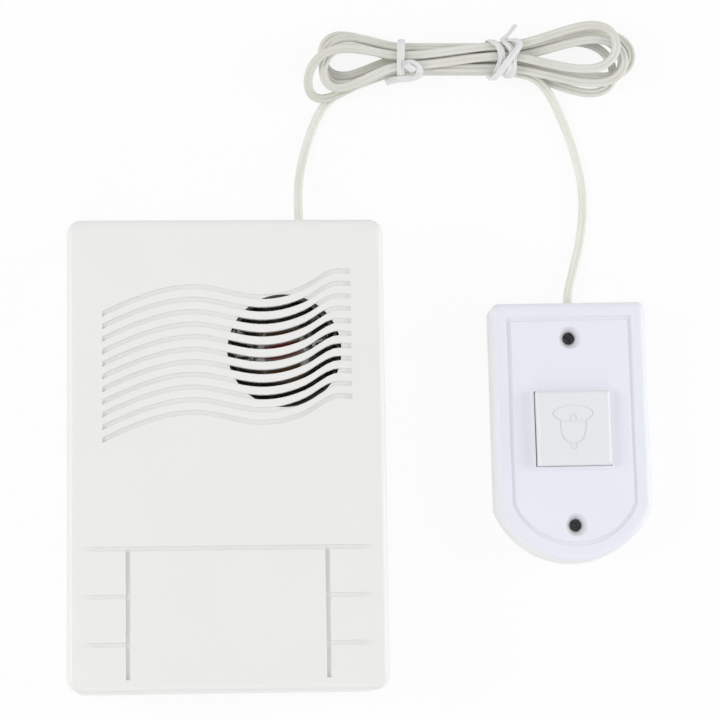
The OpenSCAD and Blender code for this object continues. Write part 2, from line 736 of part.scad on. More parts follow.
module cone_surround() color("gray") on_speaker_axis() rotate_extrude() {
    mid = cone_r + roll_r;
    roll = [for (k = [0:8]) let(a = 180 - 22.5 * k)
        [mid + roll_r * cos(a), cone_edge_z + 0.8 * roll_r * sin(a)]];
    n = len(roll) - 1;
    polygon(concat(roll, [for (k = [0:n]) roll[n - k] + [0, film_t]]));
}

module speaker_terminals() color("saddlebrown") on_speaker_axis()
    block(-basket_floor_r - 0.5, -yoke_r - 0.1, -4, 4, basket_floor - 1, basket_floor);

module speaker_screws() color("silver") for (p = speaker_screw_places()) {
    disc(p[0], p[1], washer_r, flange_back - washer_t, flange_back);
    disc(p[0], p[1], board_screw_r, flange_back - join, front_in_z - near);
}

// Wires inside the box

module speaker_wires() color("firebrick") {
    from_x = grille_x - basket_floor_r - 0.5;
    from_z = basket_floor - wire_d / 2;
    to_x = board_x + board_w / 2;
    for (y = [-2, 2]) tube([[from_x, grille_y + y, from_z], [from_x - 1.6, grille_y + y, from_z],
        [from_x - 4.4, grille_y + y, from_z - 1.4], [from_x - 7.6, grille_y + y, board_mid + 1.4],
        [to_x + 1.6, grille_y + y, board_mid], [to_x, grille_y + y, board_mid]], wire_round);
}

module battery_wires() color("firebrick") {
    tab_z = bay_top + bay_ceiling + tab_h - 1;
    to_y = board_y - board_h / 2;
    for (k = [0, 1]) {
        y = bay_y + (k == 0 ? cell_dy : -cell_dy);
        x = board_x - 6 - 3 * k;
        out = 2.5 + 2.5 * k;
        tube([[-bay_w / 2, y, tab_z], [-bay_w / 2 - 1.5, y, tab_z], [-bay_w / 2 - out, y + 2.5, tab_z],
            [-bay_w / 2 - out - 0.8, y + 8, tab_z], [-bay_w / 2 - out - 0.8, -18, tab_z - 1],
            [x - 1, -4, board_mid + 2],
            [x, to_y - 6, board_mid], [x, to_y - 2, board_mid], [x, to_y, board_mid]], wire_round);
    }
}

module cord_tail_chime() color("ivory") tube(tail_chime, cord_oval);

// Bell push

module place_unit() translate([unit_x, unit_y, 0]) rotate([0, 0, unit_turn]) children();

function unit_point(x, y, z) = [unit_x + x * cos(unit_turn) - y * sin(unit_turn),
    unit_y + x * sin(unit_turn) + y * cos(unit_turn), z];

// Outline of the push drawn in by some distance: a square end, straight sides and a round end
function shield(inset, n = 24) = concat(
    [[unit_half - inset, unit_top - inset], [inset - unit_half, unit_top - inset]],
    arc(-shoulder_x, shoulder_y, unit_shoulder_r - inset, 180, 180 + shoulder_angle, 4),
    arc(0, round_y, unit_round_r - inset, 180 + shoulder_angle, 360 - shoulder_angle, n),
    arc(shoulder_x, shoulder_y, unit_shoulder_r - inset, 360 - shoulder_angle, 360, 4));

// Block of the push: straight sides and a rounded edge, cut to a round end by a turned disc
module shield_block(inset, fillet, z1) {
    r = max(unit_corner_r - inset, fillet + 0.1);
    w = unit_w - 2 * inset;
    spare = 6;
    h = unit_l - inset + spare;
    intersection() {
        translate([0, (unit_l / 2 - inset) - h / 2, 0]) {
            carry_round(w, h, r) solid_profile(r, fillet, z1);
            block(r - w / 2, w / 2 - r, r - h / 2, h / 2 - r, 0, z1);
        }
        union() {
            translate([0, round_y, 0]) rotate_extrude() solid_profile(unit_round_r - inset, fillet, z1);
            block(-unit_w, unit_w, round_y, unit_l, 0, z1 + past);
        }
    }
}

// Room inside the push: the same outline with sharp edges
module shield_room(inset, z0, z1) intersection() {
    block(inset - unit_half, unit_half - inset, -unit_l, unit_top - inset, z0, z1);
    union() {
        disc(0, round_y, unit_round_r - inset, z0, z1);
        block(-unit_w, unit_w, round_y, unit_l, z0, z1);
    }
}

module frame_block(w, x, y, z0, z1) translate([x, y, z0]) linear_extrude(z1 - z0)
    polygon(round_rect(w, w, 1));

module button_cover() color("white") place_unit() difference() {
    union() {
        difference() {
            shield_block(0, unit_edge_r, unit_d);
            shield_room(unit_wall, -past, panel_in);
        }
        for (s = [-1, 1]) disc(0, s * screw_spacing / 2, post_r, base_t, panel_in + join);
        frame_block(cap_w + 2 * (cap_gap + collar_w), 0, cap_y, panel_in, unit_d + collar_h);
    }
    translate([0, 0, unit_d - rim_line_h]) linear_extrude(rim_line_h + past) difference() {
        polygon(shield(rim_w - rim_line_w / 2));
        polygon(shield(rim_w + rim_line_w / 2));
    }
    block(-cap_w / 2 - cap_gap, cap_w / 2 + cap_gap, cap_y - cap_w / 2 - cap_gap,
        cap_y + cap_w / 2 + cap_gap, panel_in - past, unit_d + collar_h + past);
    for (s = [-1, 1]) {
        disc(0, s * screw_spacing / 2, screw_hole_r, base_t - past, unit_d);
        translate([0, s * screw_spacing / 2, unit_d - screw_recess_h])
            cylinder(r1 = screw_hole_r, r2 = screw_recess_r, h = screw_recess_h);
    }
    block(unit_exit_x - notch_w / 2, unit_exit_x + notch_w / 2, unit_top - unit_wall - past,
        unit_top + past,
        -past, unit_exit_z + notch_h / 2);
}

module button_base() color("gainsboro") place_unit() difference() {
    union() {
        linear_extrude(base_t) polygon(shield(unit_wall + base_gap));
        disc(0, 0, pin_r, base_t - join, base_t + pin_h);
    }
    for (s = [-1, 1]) {
        disc(0, s * screw_spacing / 2, screw_hole_r, -past, base_t + past);
        disc(s * terminal_x, bridge_y, terminal_screw_r + screw_gap, 0.3, base_t + past);
    }
}

// Outline of a bell, mouth up: an oval mouth with a small loop in it, a tapered body and a round knob
module bell_lines() translate([bell_x, 0]) {
    oval = [for (a = [0:15:345]) [cos(a), sin(a)]];
    difference() {
        polygon([for (p = oval) [mouth_rx * p[0], mouth_y + mouth_ry * p[1]]]);
        polygon([for (p = oval) [(mouth_rx - bell_line) * p[0], mouth_y + (mouth_ry - bell_line) * p[1]]]);
    }
    side = [for (k = [0:8]) let(t = k / 8) [3.75 * sqrt(1 - pow(t, 2.2)) + 0.7 * t, 2.9 - 6.9 * t]];
    for (s = [-1, 1]) polygon(concat([for (p = side) [s * p[0], p[1]]],
        [for (k = [0:8]) [s * max(0, side[8 - k][0] - bell_line), side[8 - k][1]]]));
    translate([0, -4.8]) difference() {
        circle(knob_r, $fn = 24);
        circle(knob_r - bell_line, $fn = 24);
    }
    translate([0, loop_y]) difference() {
        circle(loop_r, $fn = 24);
        circle(loop_r - bell_line, $fn = 24);
        translate([-mouth_rx, -mouth_rx]) square([2 * mouth_rx, mouth_rx]);
    }
    for (s = [-1, 1]) translate([s * (loop_r - bell_line / 2) - bell_line / 2, mouth_y - mouth_ry + 0.2])
        square([bell_line, loop_y - mouth_y + mouth_ry - 0.19]);
}

module push_button() color("white") place_unit() difference() {
    translate([0, cap_y, 0]) {
        translate([0, 0, cap_low]) linear_extrude(cap_top - cap_bevel - cap_low)
            square(cap_w, center = true);
        cap_bevelled_top();
        translate([0, 0, cap_low]) linear_extrude(flange_h) square(flange_w, center = true);
    }
    difference() {
        block(cap_wall - cap_w / 2, cap_w / 2 - cap_wall, cap_y + cap_wall - cap_w / 2,
            cap_y + cap_w / 2 - cap_wall, cap_low - past, cap_roof);
        disc(0, 0, push_spring_r + 1, seat_z, cap_roof + join);
        block(-cap_w / 2, cap_w / 2, bridge_y - bridge_w / 2, bridge_y + bridge_w / 2, cap_low,
            cap_roof + join);
    }
    translate([0, 0, cap_top - bell_depth]) linear_extrude(bell_depth + past) bell_lines();
}

// Top of the cap: a square whose four edges are cut at the same slope
module cap_bevelled_top() {
    low = cap_w / 2;
    high = cap_w / 2 - cap_bevel;
    profile = [[-low, 0], [low, 0], [low, cap_w], [high, cap_w + cap_bevel], [-high, cap_w + cap_bevel],
        [-low, cap_w]];
    translate([0, 0, cap_top - cap_bevel - cap_w]) intersection() {
        translate([0, cap_w / 2, 0]) rotate([90, 0, 0]) linear_extrude(cap_w) polygon(profile);
        translate([-cap_w / 2, 0, 0]) rotate([90, 0, 90]) linear_extrude(cap_w) polygon(profile);
        block(-low, low, -low, low, cap_w - 1.2, cap_w + cap_bevel);
    }
}

module contact_bridge() color("goldenrod") place_unit()
    block(-bridge_l / 2, bridge_l / 2, bridge_y - bridge_w / 2, bridge_y + bridge_w / 2,
        cap_low - bridge_t, cap_low);

// Two brass angles: a foot under the terminal screw and an upright with a contact pad
module fixed_contacts() color("goldenrod") place_unit() for (s = [0, 1]) mirror([s, 0, 0]) difference() {
    union() {
        block(contact_x, terminal_x + 3, bridge_y - bridge_w / 2, bridge_y + bridge_w / 2, base_t,
            base_t + contact_t);
        block(contact_x, contact_x + contact_t, bridge_y - bridge_w / 2, bridge_y + bridge_w / 2, base_t,
            contact_top);
        block(contact_x - 1.6, contact_x + contact_t, bridge_y - bridge_w / 2, bridge_y + bridge_w / 2,
            contact_top - contact_t, contact_top);
    }
    disc(terminal_x, bridge_y, terminal_screw_r + near / 2, base_t - past, base_t + contact_t + past);
}

module terminal_screws() color("silver") place_unit() for (s = [-1, 1]) {
    disc(s * terminal_x, bridge_y, terminal_head_r, base_t + contact_t,
        base_t + contact_t + terminal_head_h);
    disc(s * terminal_x, bridge_y, terminal_screw_r, 0.4, base_t + contact_t + join);
}

module return_spring() color("silver") place_unit() {
    wire = [for (a = [30:60:330]) [cos(a), sin(a)] * push_spring_wire / 2];
    coil = push_spring_r - push_spring_wire / 2;
    length = seat_z - base_t - push_spring_wire - 0.1;
    translate([0, 0, base_t + push_spring_wire / 2 + 0.05])
        tube(helix(coil, coil, length, push_spring_turns, 10), wire);
}

module cord_tail_button() color("ivory") place_unit() tube(tail_button, cord_oval);

module button_wires() color("ivory") place_unit() {
    z = base_t + wire_d / 2 + 0.1;
    end = bridge_y + terminal_head_r + near;
    split = cord_w / 4;
    from = tail_button[len(tail_button) - 1];
    tube([[from[0] + split, from[1], unit_exit_z], [from[0] + split, from[1] - 2, unit_exit_z],
        [11.4, 6.4, z], [13.4, 2.4, z], [terminal_x, end + 2, z], [terminal_x, end, z]], wire_round);
    tube([[from[0] - split, from[1], unit_exit_z], [from[0] - split, from[1] - 1.6, unit_exit_z],
        [6.6, 8.4, z], [2, 7.4, z], [-6, 7.2, z], [-11, 5.4, z], [-13.6, 1.6, z],
        [-terminal_x, end + 2, z], [-terminal_x, end, z]], wire_round);
}

// Free lead, hank and ties

function run_column(j, side) = side > 0 ? column_right[j] : column_left[j];
function run_z(j) = hank_low + hank_layer * run_layer[j];

// Half a loop: out from the waist on one run, round the end and back on the next
function half_loop(h, u) =
    let(side = h % 2 == 0 ? 1 : -1, k = floor(h / 2), s = sin(180 * u),
        last = side < 0 && k == hank_loops - 1,
        reach = side > 0 ? right_reach - right_step * abs(k - 2) : last ? last_reach : left_reach,
        lean = side > 0 ? right_fan * (k - 2) / 2 : last ? last_lean : left_lean + left_step * k,
        half = side > 0 ? right_half : left_half,
        level = hank_floor + hank_layer * k,
        back = last ? hank_floor + hank_layer * last_level : level,
        y0 = hank_column * run_column(h, side), y1 = hank_column * run_column(h + 1, side),
        away = smooth(min(u, 1 - u) / 0.3), here = u < 0.5 ? run_z(h) : run_z(h + 1))
    [side * (hank_waist + (reach - hank_waist) * s),
        hank_rise + y0 + (y1 - y0) * smooth(u) + (lean - hank_rise) * s * s
            - side * loop_swell * half * sin(360 * u) * sqrt(max(0, s)),
        here + (level + (back - level) * smooth((u - drop_from) / drop_over) - here) * away];

function waist_point(j, x) = let(f = smooth(0.5 + x / (2 * hank_waist)))
    [x, hank_rise + hank_column * (column_left[j] + (column_right[j] - column_left[j]) * f), run_z(j)];

hank_runs = 2 * hank_loops + 1;
loop_points = [for (h = [0:hank_runs - 2])
    each concat([for (k = [0:hank_steps]) half_loop(h, k / hank_steps)], [waist_point(h + 1, 0)])];
hank_route = [for (p = concat([waist_point(0, -hank_join), waist_point(0, 0)], loop_points,
    [waist_point(hank_runs - 1, hank_join)])) [hank_x + p[0], hank_y + p[1], p[2]]];

// Least gap of the hank to itself: over its flat faces, or square to its slanted sides
function fine(route, n) = [for (i = [0:len(route) - 2], k = [0:n - 1])
    route[i] + (route[i + 1] - route[i]) * k / n];
function clear_between(p, q) =
    let(beside = norm([p[0] - q[0], p[1] - q[1]]), above = abs(p[2] - q[2]),
        corner = [hank_flat * cord_w, cord_t], side = corner - [cord_w, 0],
        at = [beside, above] - [cord_w, 0], t = max(0, min(1, at * side / (side * side))),
        over = norm([max(0, beside - corner[0]), above - cord_t]))
    above < cord_t && at[0] * cord_t < at[1] * side[0] ? 0 : min(over, norm(at - t * side));
function least_gap(route, apart) = min([for (i = [0:len(route) - 1 - apart], j = [i + apart:len(route) - 1])
    clear_between(route[i], route[j])]);
echo(hank_least_gap = least_gap(fine(hank_route, 5), 15));  // cord_hank

module cord_lead_chime() color("ivory") tube(lead_chime, cord_oval);

module cord_hank() color("ivory") tube(hank_route, hank_oval);

module cord_lead_button() color("ivory") tube(lead_button, cord_oval);

// A flat band round the waist of the hank
module waist_band(x, w) {
    half_y = hank_column + cord_w / 2 + near;
    z0 = hank_low - cord_t / 2 - near;
    z1 = hank_low + 3 * hank_layer + cord_t / 2 + near;
    translate([hank_x + x - w / 2, hank_y + hank_rise, (z0 + z1) / 2]) rotate([90, 0, 90])
        linear_extrude(w) difference() {
        polygon(round_rect(2 * (half_y + tie_t), z1 - z0 + 2 * tie_t, 1.6));
        polygon(round_rect(2 * half_y, z1 - z0, 0.8));
    }
}

tie_side = hank_column + cord_w / 2 + near + tie_t;

// Left tie: a band with a flat foot below the hank
module strap_tie() color("white") {
    foot_y = hank_y + hank_rise - tie_side;
    waist_band(strap_x, 2.4);
    block(hank_x + strap_x - 2.8, hank_x + strap_x + 4.8, foot_y - 1.8, foot_y + tie_t / 2, 4.2, 4.2 + tie_t);
}

// Right tie: a band with a tail that stands up above the hank
module twist_tie() color("white") {
    tail_x = hank_x + twist_x;
    tail_y = hank_y + hank_rise + tie_side;
    waist_band(twist_x, 2.6);
    tail = [[tail_x, tail_y - tie_t / 2, 6], [tail_x + 0.4, tail_y + 0.8, 6.4],
        [tail_x + 2.2, tail_y + 2.6, 6.6], [tail_x + 3.8, tail_y + 4.9, 6.6]];
    tube(tail, [for (s = cord_oval) s * 0.7]);
}

front_cover();
back_case();
battery_cover();
battery_upper();
battery_lower();
battery_springs();
battery_terminals();
battery_bridge();
case_screws();
circuit_board();
sound_chip();
capacitor();
transistors();
resistors();
board_screws();
speaker_basket();
speaker_yoke();
speaker_magnet();
pole_plate();
voice_coil();
speaker_cone();
cone_surround();
speaker_terminals();
speaker_screws();
speaker_wires();
battery_wires();
cord_tail_chime();
button_cover();
button_base();
push_button();
contact_bridge();
fixed_contacts();
terminal_screws();
return_spring();
cord_tail_button();
button_wires();
cord_lead_chime();
cord_hank();
cord_lead_button();
strap_tie();
twist_tie();
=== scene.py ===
"""Looks of a wired doorbell set: chime box, bell push and the twin lead between them in a tied hank."""

import math

import bmesh
import bpy
from mathutils import Matrix, Vector


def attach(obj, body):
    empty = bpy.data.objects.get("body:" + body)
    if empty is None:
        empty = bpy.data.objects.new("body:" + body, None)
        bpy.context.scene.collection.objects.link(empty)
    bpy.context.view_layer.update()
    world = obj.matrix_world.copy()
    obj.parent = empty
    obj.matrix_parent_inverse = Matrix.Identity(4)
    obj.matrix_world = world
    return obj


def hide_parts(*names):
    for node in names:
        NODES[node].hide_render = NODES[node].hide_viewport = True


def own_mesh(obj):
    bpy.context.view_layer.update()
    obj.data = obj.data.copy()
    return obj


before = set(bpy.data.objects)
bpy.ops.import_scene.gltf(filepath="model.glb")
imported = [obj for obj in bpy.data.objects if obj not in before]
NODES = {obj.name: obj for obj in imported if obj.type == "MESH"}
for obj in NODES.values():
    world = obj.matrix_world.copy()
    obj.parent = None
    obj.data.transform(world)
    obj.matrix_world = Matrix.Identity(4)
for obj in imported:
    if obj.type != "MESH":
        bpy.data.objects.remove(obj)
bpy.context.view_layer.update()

MM = 0.001
UP = Vector((0, 0, 1))

# Places of the main parts, in millimetres
SPEAKER = (16.1, 28.8)
PUSH = (99.6, 7.3)
PUSH_TURN = math.radians(0.6)
PUSH_HALF = 37.5
SCREW_HOLES = (-27.1, 27.1)


def linear(red, green, blue):
    """Colour as a surface takes it, from the tone that the eye sees on a scale of 255."""
    parts = []
    for tone in (red, green, blue):
        t = tone / 255
        parts.append(t / 12.92 if t <= 0.04045 else ((t + 0.055) / 1.055) ** 2.4)
    return (*parts, 1.0)


def push_point(x, y, z):
    """Place on the push, in millimetres of the whole set."""
    c, s = math.cos(PUSH_TURN), math.sin(PUSH_TURN)
    return Vector((PUSH[0] + x * c - y * s, PUSH[1] + x * s + y * c, z))


# Node building


def add(tree, kind, inputs=None, **settings):
    """Node of a kind, with its inputs linked or set."""
    node = tree.nodes.new(kind)
    for name, value in settings.items():
        setattr(node, name, value)
    for name, value in (inputs or {}).items():
        socket = node.inputs[name]
        if isinstance(value, bpy.types.NodeSocket):
            tree.links.new(value, socket)
        else:
            socket.default_value = value
    return node


def feed(tree, inputs, **sources):
    """Links each source to the input of its name, where _ stands for a space."""
    for name, source in sources.items():
        tree.links.new(source, inputs[name.replace("_", " ")])


def math_node(tree, operation, a, b=0.0):
    return add(tree, "ShaderNodeMath", {0: a, 1: b}, operation=operation).outputs[0]


def times(tree, a, b):
    return math_node(tree, "MULTIPLY", a, b)


def plus(tree, a, b):
    return math_node(tree, "ADD", a, b)


def minus(tree, a, b):
    return math_node(tree, "SUBTRACT", a, b)


def above(tree, value, limit):
    """1 where a value is above a limit, otherwise 0."""
    return math_node(tree, "GREATER_THAN", value, limit)


def spread(tree, value, low, high, to_low, to_high):
    """Carries a value from one range to another, and stops at its ends."""
    ends = {"From Min": low, "From Max": high, "To Min": to_low, "To Max": to_high}
    return add(tree, "ShaderNodeMapRange", {"Value": value, **ends}).outputs["Result"]


def rise(tree, value, start, full):
    """0 up to the start, 1 from where it is full."""
    return spread(tree, value, start, full, 0.0, 1.0)


def within(tree, value, start, full, fade, end):
    """1 between full and fade, 0 before the start and after the end."""
    return times(tree, rise(tree, value, start, full), spread(tree, value, fade, end, 1.0, 0.0))


def noise(tree, vector, scale, detail):
    values = {"Vector": vector, "Scale": scale, "Detail": detail}
    return add(tree, "ShaderNodeTexNoise", values).outputs["Fac"]


def between(tree, factor, first, second, way="MIX"):
    """First colour where the factor is 0, second where it is 1."""
    values = {0: factor, 6: first, 7: second}
    return add(tree, "ShaderNodeMix", values, data_type="RGBA", blend_type=way).outputs[2]


def tint(tree, colour, value):
    """Colour made lighter or darker by a value around 1."""
    return between(tree, 1.0, colour, value, "MULTIPLY")


def place_on(tree, kind="Object"):
    """Place on a piece in the frame of the set, or on its UV map."""
    return add(tree, "ShaderNodeTexCoord").outputs[kind]


def mapped(tree, vector, **settings):
    """Place that is moved or stretched before a pattern reads it."""
    return add(tree, "ShaderNodeMapping", {"Vector": vector, **settings}).outputs["Vector"]


def part_of(tree, vector, axis):
    return add(tree, "ShaderNodeSeparateXYZ", {"Vector": vector}).outputs[axis]


def vector_of(tree, x=0.0, y=0.0, z=0.0):
    return add(tree, "ShaderNodeCombineXYZ", {"X": x, "Y": y, "Z": z}).outputs[0]


def vector_math(tree, operation, first, second=(0, 0, 0), result="Value"):
    values = {0: first, 1: second}
    return add(tree, "ShaderNodeVectorMath", values, operation=operation).outputs[result]


def flattened(tree, vector):
    """Place without its height."""
    return vector_math(tree, "MULTIPLY", vector, (1, 1, 0), "Vector")


def relief(tree, strength, depth, height):
    """Normal of a surface with a fine relief."""
    values = {"Strength": strength, "Distance": depth, "Height": height}
    return add(tree, "ShaderNodeBump", values).outputs["Normal"]


SOCKET_KINDS = {tuple: "NodeSocketColor", float: "NodeSocketFloat", int: "NodeSocketInt"}


def add_inputs(tree, inputs):
    """Named inputs of a tree, with their first values."""
    for label, value in inputs.items():
        socket = tree.interface.new_socket(label, in_out="INPUT", socket_type=SOCKET_KINDS[type(value)])
        socket.default_value = value


def ends_of(tree):
    """A tree with what it is given and what it results in."""
    return tree, tree.nodes.new("NodeGroupInput").outputs, tree.nodes.new("NodeGroupOutput").inputs


def effect(name, inputs):
    """Empty node group of a shared effect: named inputs, and a surface's colour, roughness and height."""
    tree = bpy.data.node_groups.new(name, "ShaderNodeTree")
    add_inputs(tree, inputs)
    for label, kind in (("Colour", "Color"), ("Roughness", "Float"), ("Height", "Float")):
        tree.interface.new_socket(label, in_out="OUTPUT", socket_type="NodeSocket" + kind)
    return ends_of(tree)


# Shared effects. A noise stays mostly within its swing.

PURE_WHITE = (1, 1, 1, 1)
SWING = (0.3, 0.7)


def make_moulded_skin():
    """Moulded plastic: fine spark texture, slow change of tone, sheen rubbed here and there."""
    tree, given, result = effect("moulded_skin", {
        "Colour": PURE_WHITE, "Roughness": 0.45, "Grain": 2400.0, "Tone Shift": 0.02})
    place = place_on(tree)
    slow = noise(tree, place, 28.0, 3.0)
    rubbed = noise(tree, place, 140.0, 4.0)
    low = minus(tree, 1.0, given["Tone Shift"])
    feed(tree, result,
         Colour=tint(tree, given["Colour"], spread(tree, slow, 0.35, 0.65, low, 1.0)),
         Roughness=plus(tree, given["Roughness"], spread(tree, rubbed, *SWING, -0.05, 0.06)),
         Height=noise(tree, place, given["Grain"], 2.0))
    return tree


def make_metal_grain():
    """Rolled or plated metal: fine lines one way, small dull patches."""
    tree, given, result = effect("metal_grain", {"Colour": PURE_WHITE, "Roughness": 0.3, "Lines": 900.0})
    place = place_on(tree)
    drawn = mapped(tree, place, Scale=(0.06, 1.0, 1.0))
    dull = noise(tree, place, 220.0, 3.0)
    feed(tree, result,
         Colour=tint(tree, given["Colour"], spread(tree, dull, *SWING, 0.86, 1.0)),
         Roughness=plus(tree, given["Roughness"], spread(tree, dull, 0.35, 0.7, -0.06, 0.14)),
         Height=noise(tree, drawn, given["Lines"], 3.0))
    return tree


def make_drawn_vinyl():
    """Soft vinyl drawn through a die: lines along its length, tone that drifts along it. Reads the UV map."""
    tree, given, result = effect("drawn_vinyl", {"Colour": PURE_WHITE, "Aged": PURE_WHITE, "Roughness": 0.4})
    place = place_on(tree, "UV")
    drift = noise(tree, mapped(tree, place, Scale=(60.0, 1.2, 1.0)), 1.0, 3.0)
    lines = noise(tree, mapped(tree, place, Scale=(8.0, 46.0, 1.0)), 1.0, 2.0)
    tone = between(tree, rise(tree, drift, 0.36, 0.64), given["Colour"], given["Aged"])
    feed(tree, result,
         Colour=tint(tree, tone, spread(tree, lines, *SWING, 0.992, 1.0)),
         Roughness=plus(tree, given["Roughness"], spread(tree, drift, *SWING, -0.05, 0.07)),
         Height=lines)
    return tree


MOULDED_SKIN = make_moulded_skin()
METAL_GRAIN = make_metal_grain()
DRAWN_VINYL = make_drawn_vinyl()

# Finishes

SPARK_DEPTH = 0.00003
ROLLED_DEPTH = 0.00002
PANEL_TONE = linear(233, 235, 244)


def new_material(name):
    material = bpy.data.materials.new(name)
    material.use_nodes = True
    tree = material.node_tree
    return material, tree, tree.nodes["Principled BSDF"]


def finish_of(name, group, values, bump, depth, metallic=0.0):
    """Material that takes its colour, roughness and relief from a shared effect."""
    material, tree, shader = new_material(name)
    skin = add(tree, "ShaderNodeGroup", values, node_tree=group).outputs
    feed(tree, shader.inputs, Base_Color=skin["Colour"], Roughness=skin["Roughness"],
         Normal=relief(tree, bump, depth, skin["Height"]))
    shader.inputs["Metallic"].default_value = metallic
    return material


def plastic(name, colour, roughness, grain=2400.0, shift=0.02, bump=0.12):
    values = {"Colour": colour, "Roughness": roughness, "Grain": grain, "Tone Shift": shift}
    return finish_of(name, MOULDED_SKIN, values, bump, SPARK_DEPTH)


def metal(name, colour, roughness, lines=900.0, bump=0.15):
    values = {"Colour": colour, "Roughness": roughness, "Lines": lines}
    return finish_of(name, METAL_GRAIN, values, bump, ROLLED_DEPTH, 1.0)


def vinyl(name, colour, aged, roughness, bump):
    values = {"Colour": colour, "Aged": aged, "Roughness": roughness}
    return finish_of(name, DRAWN_VINYL, values, bump, SPARK_DEPTH)


WHITE_SHELL = plastic("white_shell", linear(236, 236, 234), 0.36, shift=0.012)
PUSH_WHITE = plastic("push_white", PANEL_TONE, 0.40, shift=0.010)
CAP_WHITE = plastic("cap_white", linear(231, 232, 235), 0.34, 1500.0, shift=0.008)
BASE_WHITE = plastic("base_white", linear(224, 225, 228), 0.5, shift=0.03)
BLACK_RESIN = plastic("black_resin", linear(26, 26, 27), 0.5, 3200.0, shift=0.2)
CAPACITOR_SLEEVE = plastic("capacitor_sleeve", linear(40, 52, 110), 0.3, 900.0, shift=0.1)
MAGNET_DARK = plastic("magnet_dark", linear(58, 58, 60), 0.6, 1800.0, shift=0.2, bump=0.4)
TAG_BROWN = plastic("tag_brown", linear(118, 76, 40), 0.55, 700.0, shift=0.25)
SPEAKER_BLACK = plastic("speaker_black", linear(20, 20, 20), 0.42, 1500.0, shift=0.25, bump=0.3)
TIE_WHITE = plastic("tie_white", linear(250, 251, 255), 0.42, 1200.0, shift=0.02, bump=0.2)
PLATED_STEEL = metal("plated_steel", linear(196, 197, 199), 0.26)
CONTACT_BRASS = metal("contact_brass", linear(206, 170, 92), 0.3)
COPPER_WIRE = metal("copper_wire", linear(170, 92, 58), 0.35, 5000.0, 0.6)
LEAD_VINYL = vinyl("lead_vinyl", linear(236, 236, 230), linear(228, 228, 217), 0.46, 0.03)
RED_VINYL = vinyl("red_vinyl", linear(172, 38, 35), linear(156, 34, 32), 0.4, 0.1)

# Finishes that change over a piece, with their places in metres

# Cells along X: middle of the sleeve, start of its bands and of the bare metal
CELL_MIDDLE = 0.0016
CELL_BANDS = 0.0175
CELL_BARE = 0.0238

# Resistors along X: middle and half length of the bodies, and how close their rings stand
RESISTOR_MIDDLE = -0.0265
RESISTOR_HALF = 0.00302
RING_RATE = 4200.0

# Film of the speaker: radii at which its tones change, and reach of the painted glints to both sides
BROWN_TO_OLIVE = (0.0035, 0.0062)
OLIVE_TO_BLACK = (0.0075, 0.0095)
GLINT_RING = (0.0052, 0.0058, 0.0070, 0.0078)
GLINT_SIDES = (0.0046, 0.0056)
FILM_WANDER = 0.0008

# Push: heights at which its painted light at the outer edge and its painted shade down the screw holes change
# its tone, and the radius of that painted shade round a screw hole
PAINTED_RIM_LIGHT = (0.0098, 0.0118)
HOLE_WALL_SHADE = (0.0050, 0.0092)
HOLE_RIM_SHADE = (0.0096, 0.0119)
HOLE_SHADE = 0.0038

# Hank: length over which the painted shade on the lead fades in, and the tone of that painted shade
HANK_FADE = 0.03
HANK_SHADE = 0.88


def skinned(name, colour, roughness, grain, shift):
    """Material with the roughness of a moulded skin, and the skin's colour to be changed over the piece."""
    material, tree, shader = new_material(name)
    values = {"Colour": colour, "Roughness": roughness, "Grain": grain, "Tone Shift": shift}
    skin = add(tree, "ShaderNodeGroup", values, node_tree=MOULDED_SKIN).outputs
    feed(tree, shader.inputs, Roughness=skin["Roughness"])
    return material, tree, shader.inputs, skin["Colour"]


def make_cell_sleeve():
    """Plain sleeve of a cell: grey, with a darker band near each end and bare metal beyond."""
    material, tree, inputs, grey = skinned("cell_sleeve", linear(122, 126, 130), 0.34, 500.0, 0.12)
    x = part_of(tree, place_on(tree), "X")
    reach = math_node(tree, "ABSOLUTE", minus(tree, x, CELL_MIDDLE))
    bare = above(tree, reach, CELL_BARE)
    tone = between(tree, above(tree, reach, CELL_BANDS), grey, linear(74, 78, 84))
    feed(tree, inputs, Base_Color=between(tree, bare, tone, linear(190, 191, 193)), Metallic=bare)
    return material


def make_board_green():
    """Lacquered board: green over glass fibre, with slightly lighter tracks on a grid."""
    material, tree, inputs, green = skinned("board_green", linear(38, 104, 62), 0.38, 1600.0, 0.15)
    values = {"Vector": place_on(tree), "Scale": 120.0, "Mortar Size": 0.12, "Mortar": PURE_WHITE,
              "Color1": (0, 0, 0, 1), "Color2": (0, 0, 0, 1)}
    grid = add(tree, "ShaderNodeTexBrick", values).outputs["Color"]
    feed(tree, inputs, Base_Color=between(tree, grid, green, linear(70, 140, 84)),
         Normal=relief(tree, 0.3, 0.00005, grid))
    return material


def make_resistor_tan():
    """Lacquered resistors: colour rings across each body, bare wires beyond it."""
    material, tree, inputs, tan = skinned("resistor_tan", linear(206, 180, 136), 0.35, 900.0, 0.1)
    across = minus(tree, part_of(tree, place_on(tree), "X"), RESISTOR_MIDDLE)
    rings = above(tree, math_node(tree, "SINE", times(tree, across, RING_RATE)), 0.6)
    wire = above(tree, math_node(tree, "ABSOLUTE", across), RESISTOR_HALF)
    tone = between(tree, rings, tan, linear(120, 62, 40))
    feed(tree, inputs, Base_Color=between(tree, wire, tone, linear(190, 190, 188)), Metallic=wire)
    return material


